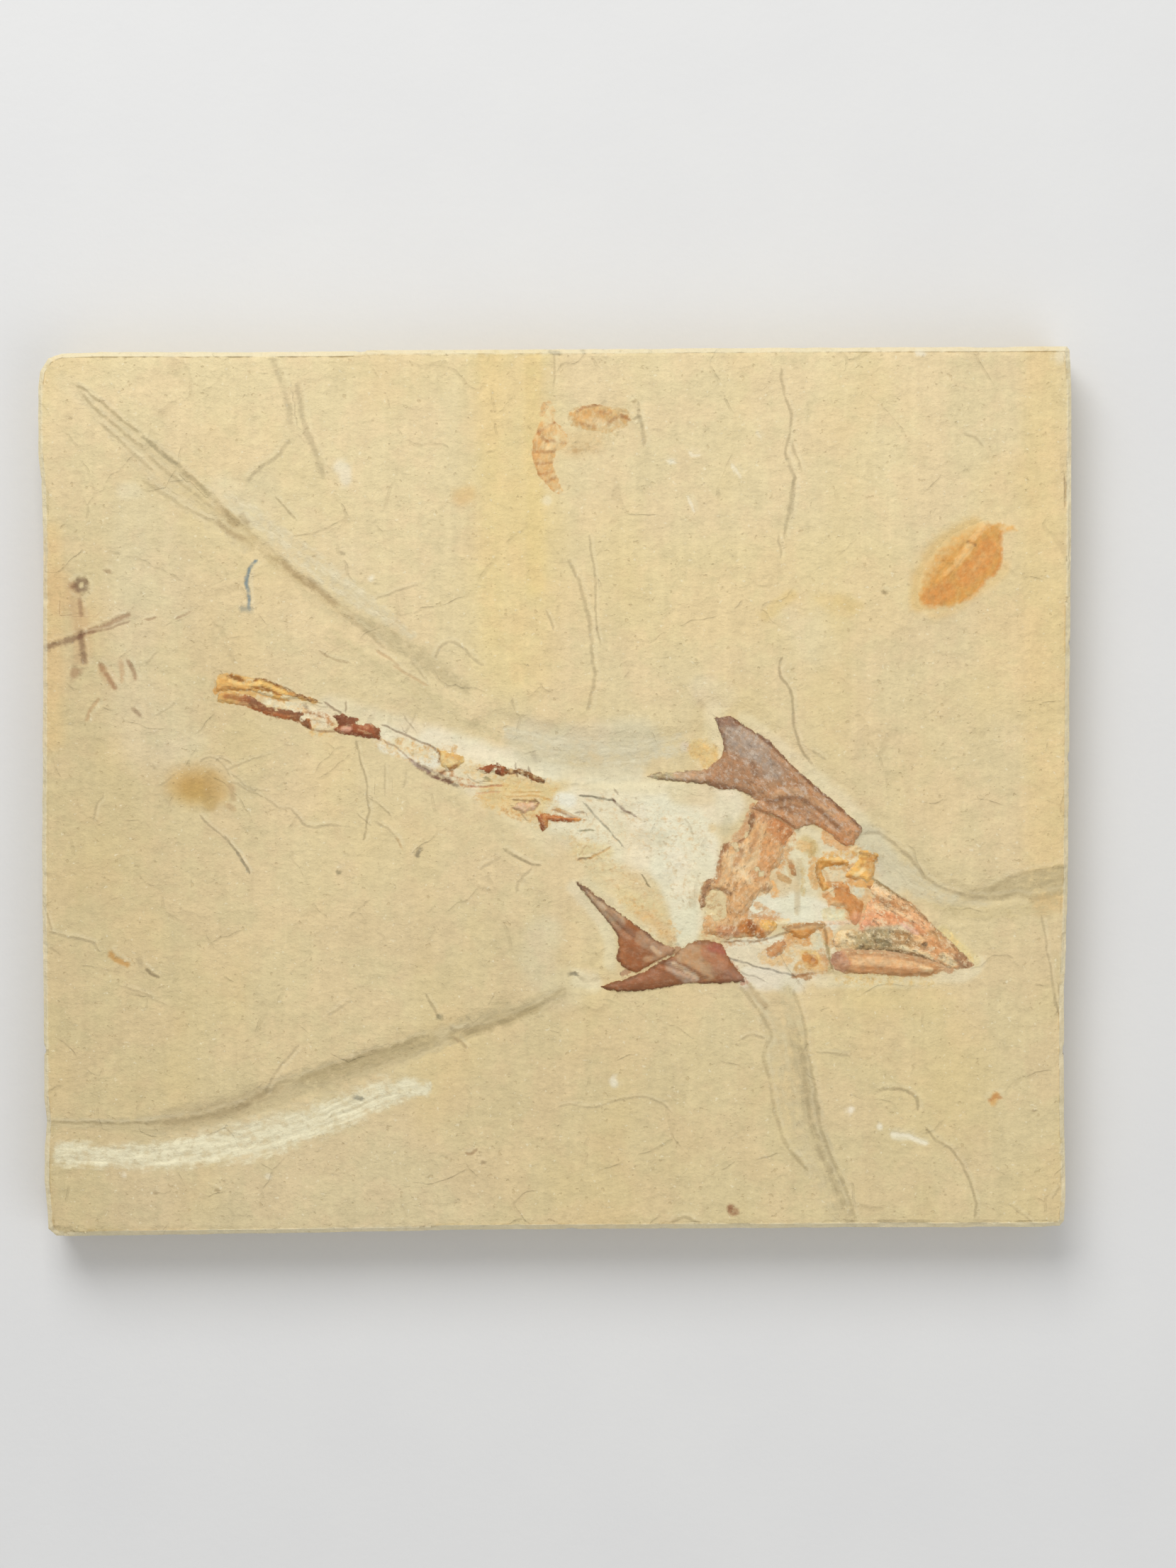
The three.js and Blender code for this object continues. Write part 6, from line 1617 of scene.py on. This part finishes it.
# Flakes of bone too small to be pieces, and the rust that seeped out of the fossils: they are
# part of the slab's own face, thickest round the eye, along the gill and behind the shoulder. Each
# is (colour, strength, half width, softness, points).
FLAKES = [
    # gold between the tail's lobes
    ((214, 168, 98), 0.85, 0.5, 0.7, [(-65.6, 19.7), (-62.4, 19.7)]),
    ((226, 186, 122), 0.6, 0.4, 0.8, [(-62.6, 19.6), (-58.8, 19)]),
    # the rubbed film round the shrimp
    ((208, 178, 126), 0.75, 1.7, 0.8, [(4.6, 73.2), (9, 73.4), (12.8, 73)]),
    ((166, 132, 92), 0.55, 0.5, 0.6, [(10.4, 71.6), (13.8, 72.8)]),
    ((206, 184, 138), 0.5, 0.7, 1, [(3.4, 67), (7.4, 67.8), (11.6, 70)]),
    ((222, 180, 122), 0.75, 0.9, 0.7, [(0.4, 70.8), (1.2, 69)]),
    ((222, 182, 126), 0.65, 0.5, 0.6, [(-1.4, 76), (-2.4, 74)]),
    # crumbs and rust over the head: round the eye, along the gill and between the jaws
    ((226, 196, 134), 0.7, 1.4, 1.2, [(28, 8.4), (30.2, 8), (30.2, 6.2)]),
    ((204, 158, 104), 0.45, 0.4, 0.8, [(27.8, 9.4), (29, 9.6), (30.4, 9)]),
    ((204, 156, 110), 0.95, 0.7, 0.6, [(39, -3.2), (46.8, -6.6)]),
    ((206, 158, 112), 0.7, 0.5, 0.8, [(38.2, -4.6), (37.4, -7.2), (35.4, -9.4)]),
    ((214, 164, 106), 0.6, 0.6, 0.9, [(46.4, -8.6), (45.4, -12), (43.8, -15.2)]),
    ((226, 192, 136), 0.8, 0.8, 0.7, [(48.2, -10.6), (49, -10.8)]),
    ((204, 176, 118), 0.7, 0.5, 0.6, [(50.5, -10.2), (50.3, -12.4)]),
    ((176, 124, 76), 0.75, 0.35, 0.4, [(46.2, -14.2), (46.8, -16)]),
    ((196, 156, 102), 0.75, 0.4, 0.5, [(44, -16.6), (45.8, -17.6)]),
    ((230, 180, 118), 0.7, 0.6, 0.7, [(42.4, -18.2), (43.2, -20)]),
    ((206, 186, 134), 0.55, 0.3, 0.5, [(48.6, -13.6), (48.6, -20.2)]),
    ((220, 170, 112), 0.8, 1.1, 1, [(53.6, -8.8), (57, -10.4)]),
    ((236, 212, 160), 0.8, 0.5, 0.5, [(57.8, -10.8), (59.2, -11.4)]),
    ((222, 176, 112), 0.7, 0.5, 0.7, [(50.6, -13.4), (50.2, -16), (51, -18.6)]),
    ((214, 164, 100), 0.7, 0.4, 0.5, [(54.4, -15.2), (56.6, -15.4), (58.4, -14.6)]),
    ((238, 220, 176), 0.7, 0.3, 0.4, [(52.8, -15.6), (53, -18)]),
    ((214, 158, 100), 0.7, 0.5, 0.6, [(53, -20), (56, -23)]),
    ((210, 160, 104), 0.6, 0.4, 0.6, [(57.4, -23.4), (57.8, -25.6)]),
    ((226, 178, 104), 0.6, 0.6, 0.8, [(53, -12.6), (59.6, -12.2)]),
    ((226, 206, 164), 0.9, 1, 0.6, [(54, -16.4), (56.6, -16.8)]),
    ((214, 150, 80), 0.85, 0.4, 0.4, [(53.2, -18.2), (57.2, -18.2), (57.6, -16.2)]),
    ((226, 172, 100), 0.8, 0.8, 0.8, [(58.8, -17.6), (61.6, -17.8)]),
    ((218, 212, 182), 0.9, 0.8, 0.5, [(58.8, -19.6), (59.8, -19.8)]),
    ((176, 120, 68), 0.8, 0.3, 0.4, [(60.4, -17.8), (62, -18.8)]),
    ((224, 184, 132), 0.8, 1, 0.9, [(60.8, -20.6), (61, -22.8)]),
    ((228, 166, 120), 0.75, 0.9, 0.8, [(59.8, -24.6), (61.4, -26.4)]),
    ((224, 216, 174), 0.8, 1, 0.8, [(53.4, -24), (55.8, -24.2)]),
    ((236, 206, 172), 0.75, 0.3, 0.5, [(53, -25.6), (57.6, -25.7)]),
    ((206, 150, 90), 0.8, 0.5, 0.6, [(37.6, -24.6), (42.6, -25.4)]),
    ((172, 154, 98), 0.75, 0.3, 0.4, [(45.3, -26.2), (46.2, -27.2)]),
    ((214, 168, 112), 0.75, 0.5, 0.7, [(46.4, -26.6), (52.6, -26.2)]),
    ((216, 160, 92), 0.8, 0.9, 0.8, [(46.6, -28.4), (49.2, -29.4)]),
    ((220, 210, 174), 0.9, 1, 0.6, [(51.2, -28.8), (51.4, -29.8)]),
    ((216, 166, 104), 0.7, 0.8, 0.8, [(53, -27.2), (54, -29.6)]),
    ((226, 192, 138), 0.7, 1, 1, [(41.2, -32.4), (45, -33), (47, -31)]),
    ((218, 172, 116), 0.75, 0.7, 0.8, [(44.6, -30), (46.8, -29.2), (47, -27.4)]),
    ((198, 142, 84), 0.7, 0.4, 0.5, [(45.4, -28.2), (44.2, -30.4), (42.6, -32)]),
    ((232, 206, 160), 0.8, 0.5, 0.5, [(47.6, -30.4), (49.6, -31.2)]),
    ((206, 160, 108), 0.7, 0.5, 0.6, [(52.2, -31.4), (53.2, -33.6)]),
    ((206, 156, 100), 0.7, 0.4, 0.6, [(54, -28.4), (55.4, -30.4)]),
    ((198, 150, 96), 0.6, 0.3, 0.5, [(47.6, -34.2), (50, -35.8), (53, -35)]),
    ((236, 214, 166), 0.8, 0.4, 0.5, [(43.8, -25.6), (45.6, -25.4)]),
    ((214, 170, 118), 0.6, 0.5, 0.7, [(39.4, -22), (41.4, -23.6), (43.6, -24.4)]),
    ((198, 144, 92), 0.6, 0.3, 0.4, [(38, -23.6), (40, -24.6), (42, -24.8)]),
    ((218, 194, 152), 0.3, 3.6, 3, [(9, -5), (26, -9)]),
    ((212, 186, 142), 0.3, 2, 2.4, [(24, -13), (25.6, -20)]),
    ((216, 188, 140), 0.34, 1.8, 2, [(6, -12), (13, -17), (19, -22)]),
    ((206, 140, 62), 0.9, 0.7, 0.5, [(49.2, -32.4), (50.6, -33.2)]),
    ((228, 190, 120), 0.85, 0.4, 0.4, [(48.6, -31.6), (50.6, -31.4), (51.6, -32.6)]),
    ((222, 178, 112), 0.65, 0.9, 1, [(48, -34.6), (51.4, -35), (52.6, -33.4)]),
    ((190, 170, 116), 0.65, 0.3, 0.5, [(53.2, -29.4), (54, -35.2)]),
    ((186, 136, 84), 0.7, 0.3, 0.5, [(46.8, -36), (49.8, -36.4)]),
    ((200, 156, 114), 0.85, 0.6, 0.5, [(56.8, -31.4), (63.6, -31.3), (71, -32.6), (77.4, -34.9)]),
    ((222, 196, 136), 0.45, 0.8, 1.2, [(56, -37), (73, -36.8)]),
    ((236, 214, 150), 0.6, 0.5, 0.7, [(76.6, -27.6), (81.6, -33.2)]),
    ((206, 166, 118), 0.45, 0.5, 1, [(29.2, -28.8), (34, -29.6), (40.6, -29)]),
    ((198, 160, 112), 0.42, 1, 1.2, [(30.6, -20.8), (31.6, -23.4)]),
    ((190, 142, 112), 0.6, 0.5, 0.8, [(33, -32.4), (37, -37.4)]),
    ((206, 166, 112), 0.45, 0.3, 0.7, [(17.2, -22.6), (23.4, -28.9)]),
    ((222, 190, 134), 0.45, 1.4, 1.6, [(14.4, -21.4), (19.4, -24.8), (22.4, -27.6)]),
    # rust along the backbone, and what is left of the tail's rays
    ((222, 186, 122), 0.4, 2.6, 2.4, [(-12.6, -0.6), (-1.6, -3.4)]),
    ((214, 166, 102), 0.42, 1, 1.4, [(-9.4, -3.6), (-5, -4.8), (0.8, -4.6)]),
    ((222, 192, 138), 0.34, 1.2, 2.2, [(4, -9), (7.4, -12), (9.4, -15.6)]),
    ((224, 194, 138), 0.45, 1, 1.4, [(-16.6, 4.4), (-0.6, 0.8)]),
    ((196, 140, 84), 0.5, 0.6, 0.9, [(-24, 4), (-16.6, 1.4)]),
    ((226, 198, 144), 0.45, 0.8, 1.2, [(-34, 9.4), (-29.4, 6.8), (-24.4, 6.8)]),
    ((212, 168, 104), 0.45, 0.6, 1, [(-30.4, 10), (-25.4, 8.2), (-19.8, 8)]),
    ((186, 132, 80), 0.5, 0.4, 0.7, [(-48.4, 15.4), (-45.4, 15), (-43.6, 13.2)]),
    ((224, 186, 130), 0.48, 0.9, 1, [(-58, 18), (-52.6, 16.6), (-46.6, 14.2)]),
    ((222, 180, 110), 1, 1.9, 0.5, [(-64.4, 21), (-60, 20.2)]),
    ((214, 164, 92), 0.95, 0.9, 0.5, [(-59, 20.6), (-53, 18.4)]),
    ((146, 98, 48), 0.95, 0.35, 0.3, [(-58.4, 21.6), (-55, 20.3)]),
    ((162, 108, 46), 0.95, 0.3, 0.3, [(-59, 20.2), (-52.5, 17.8)]),
    ((236, 224, 186), 0.8, 0.5, 0.7, [(-56.4, 17.6), (-51, 16.6)]),
    ((208, 160, 90), 0.85, 0.8, 0.6, [(-65.8, 19.8), (-60.4, 18.9)]),
    ((150, 104, 58), 0.6, 0.2, 0.4, [(-65.6, 19.9), (-62.4, 19.5)]),
    ((150, 122, 94), 0.6, 0.5, 0.6, [(-26.6, 4.9), (-24.6, 4)]),
    ((140, 104, 78), 0.6, 0.5, 0.6, [(-23.8, 3.4), (-20.6, 2.1)]),
    ((180, 138, 104), 0.98, 0.4, 0.4, [(13.4, -35.7), (24.2, -30.8)]),
    ((220, 182, 116), 0.4, 0.8, 1.2, [(-47.2, 12.2), (-44.6, 11.6)]),
]
for colour, strength, half, soft, points in FLAKES:
    cover = strength * stroke(face_xy, points, half, soft)
    bare = cover > stain[:, 3]
    stain[bare, :3] = earth(*colour)
    stain[bare, 3] = cover[bare]
stain[:, 3] *= height > STAIN_FOOT
write(slab_mesh, "stain", stain)


# The stand for looking at it: a pale table, two soft boxes and a camera straight over the face.
VIEW_MIDDLE = (6.52, 1.43)
VIEW_HEIGHT = 306.8
LENS = 85
FILM = 36
TABLE_DROP = 0.2

table = bmesh.new()
bmesh.ops.create_grid(table, x_segments=1, y_segments=1, size=2.0)
table_mesh = bpy.data.meshes.new("table")
table.to_mesh(table_mesh)
table.free()
for vert in table_mesh.vertices:
    vert.co.z = -TABLE_DROP * MM
floor = placed("table", table_mesh)
material, tree, shader, place = new_material("pale table", 0.85)
finish_surface(
    tree, shader, blend(tree, noise(tree, place, 30, 3), (0.70, 0.70, 0.70, 1), (0.74, 0.74, 0.73, 1)),
    noise(tree, place, 2.0, 3), 0.05)
table_mesh.materials.append(material)


def soft_box(name, place, size, power):
    """A square soft light aimed at the middle of the slab."""
    light = bpy.data.lights.new(name, "AREA")
    light.energy = power
    light.size = size
    box = placed(name, light)
    box.location = place
    box.rotation_euler = (-Vector(place)).to_track_quat("-Z", "Y").to_euler()


soft_box("head light", (-0.25, 0.75, 0.85), 0.7, 9.0)
soft_box("fill light", (0.6, -0.5, 0.9), 0.9, 3.0)
world = bpy.data.worlds.new("room")
bpy.context.scene.world = world
world.use_nodes = True
world.node_tree.nodes["Background"].inputs["Color"].default_value = (1, 1, 1, 1)
world.node_tree.nodes["Background"].inputs["Strength"].default_value = 0.45

camera = bpy.data.cameras.new("camera")
camera.lens = LENS
camera.sensor_width = FILM
camera.clip_start = 0.01
eye = placed("camera", camera)
eye.location = [v * MM for v in (*VIEW_MIDDLE, FACE_Z + VIEW_HEIGHT * LENS / FILM)]
bpy.context.scene.camera = eye
bpy.context.scene.view_settings.view_transform = "Standard"
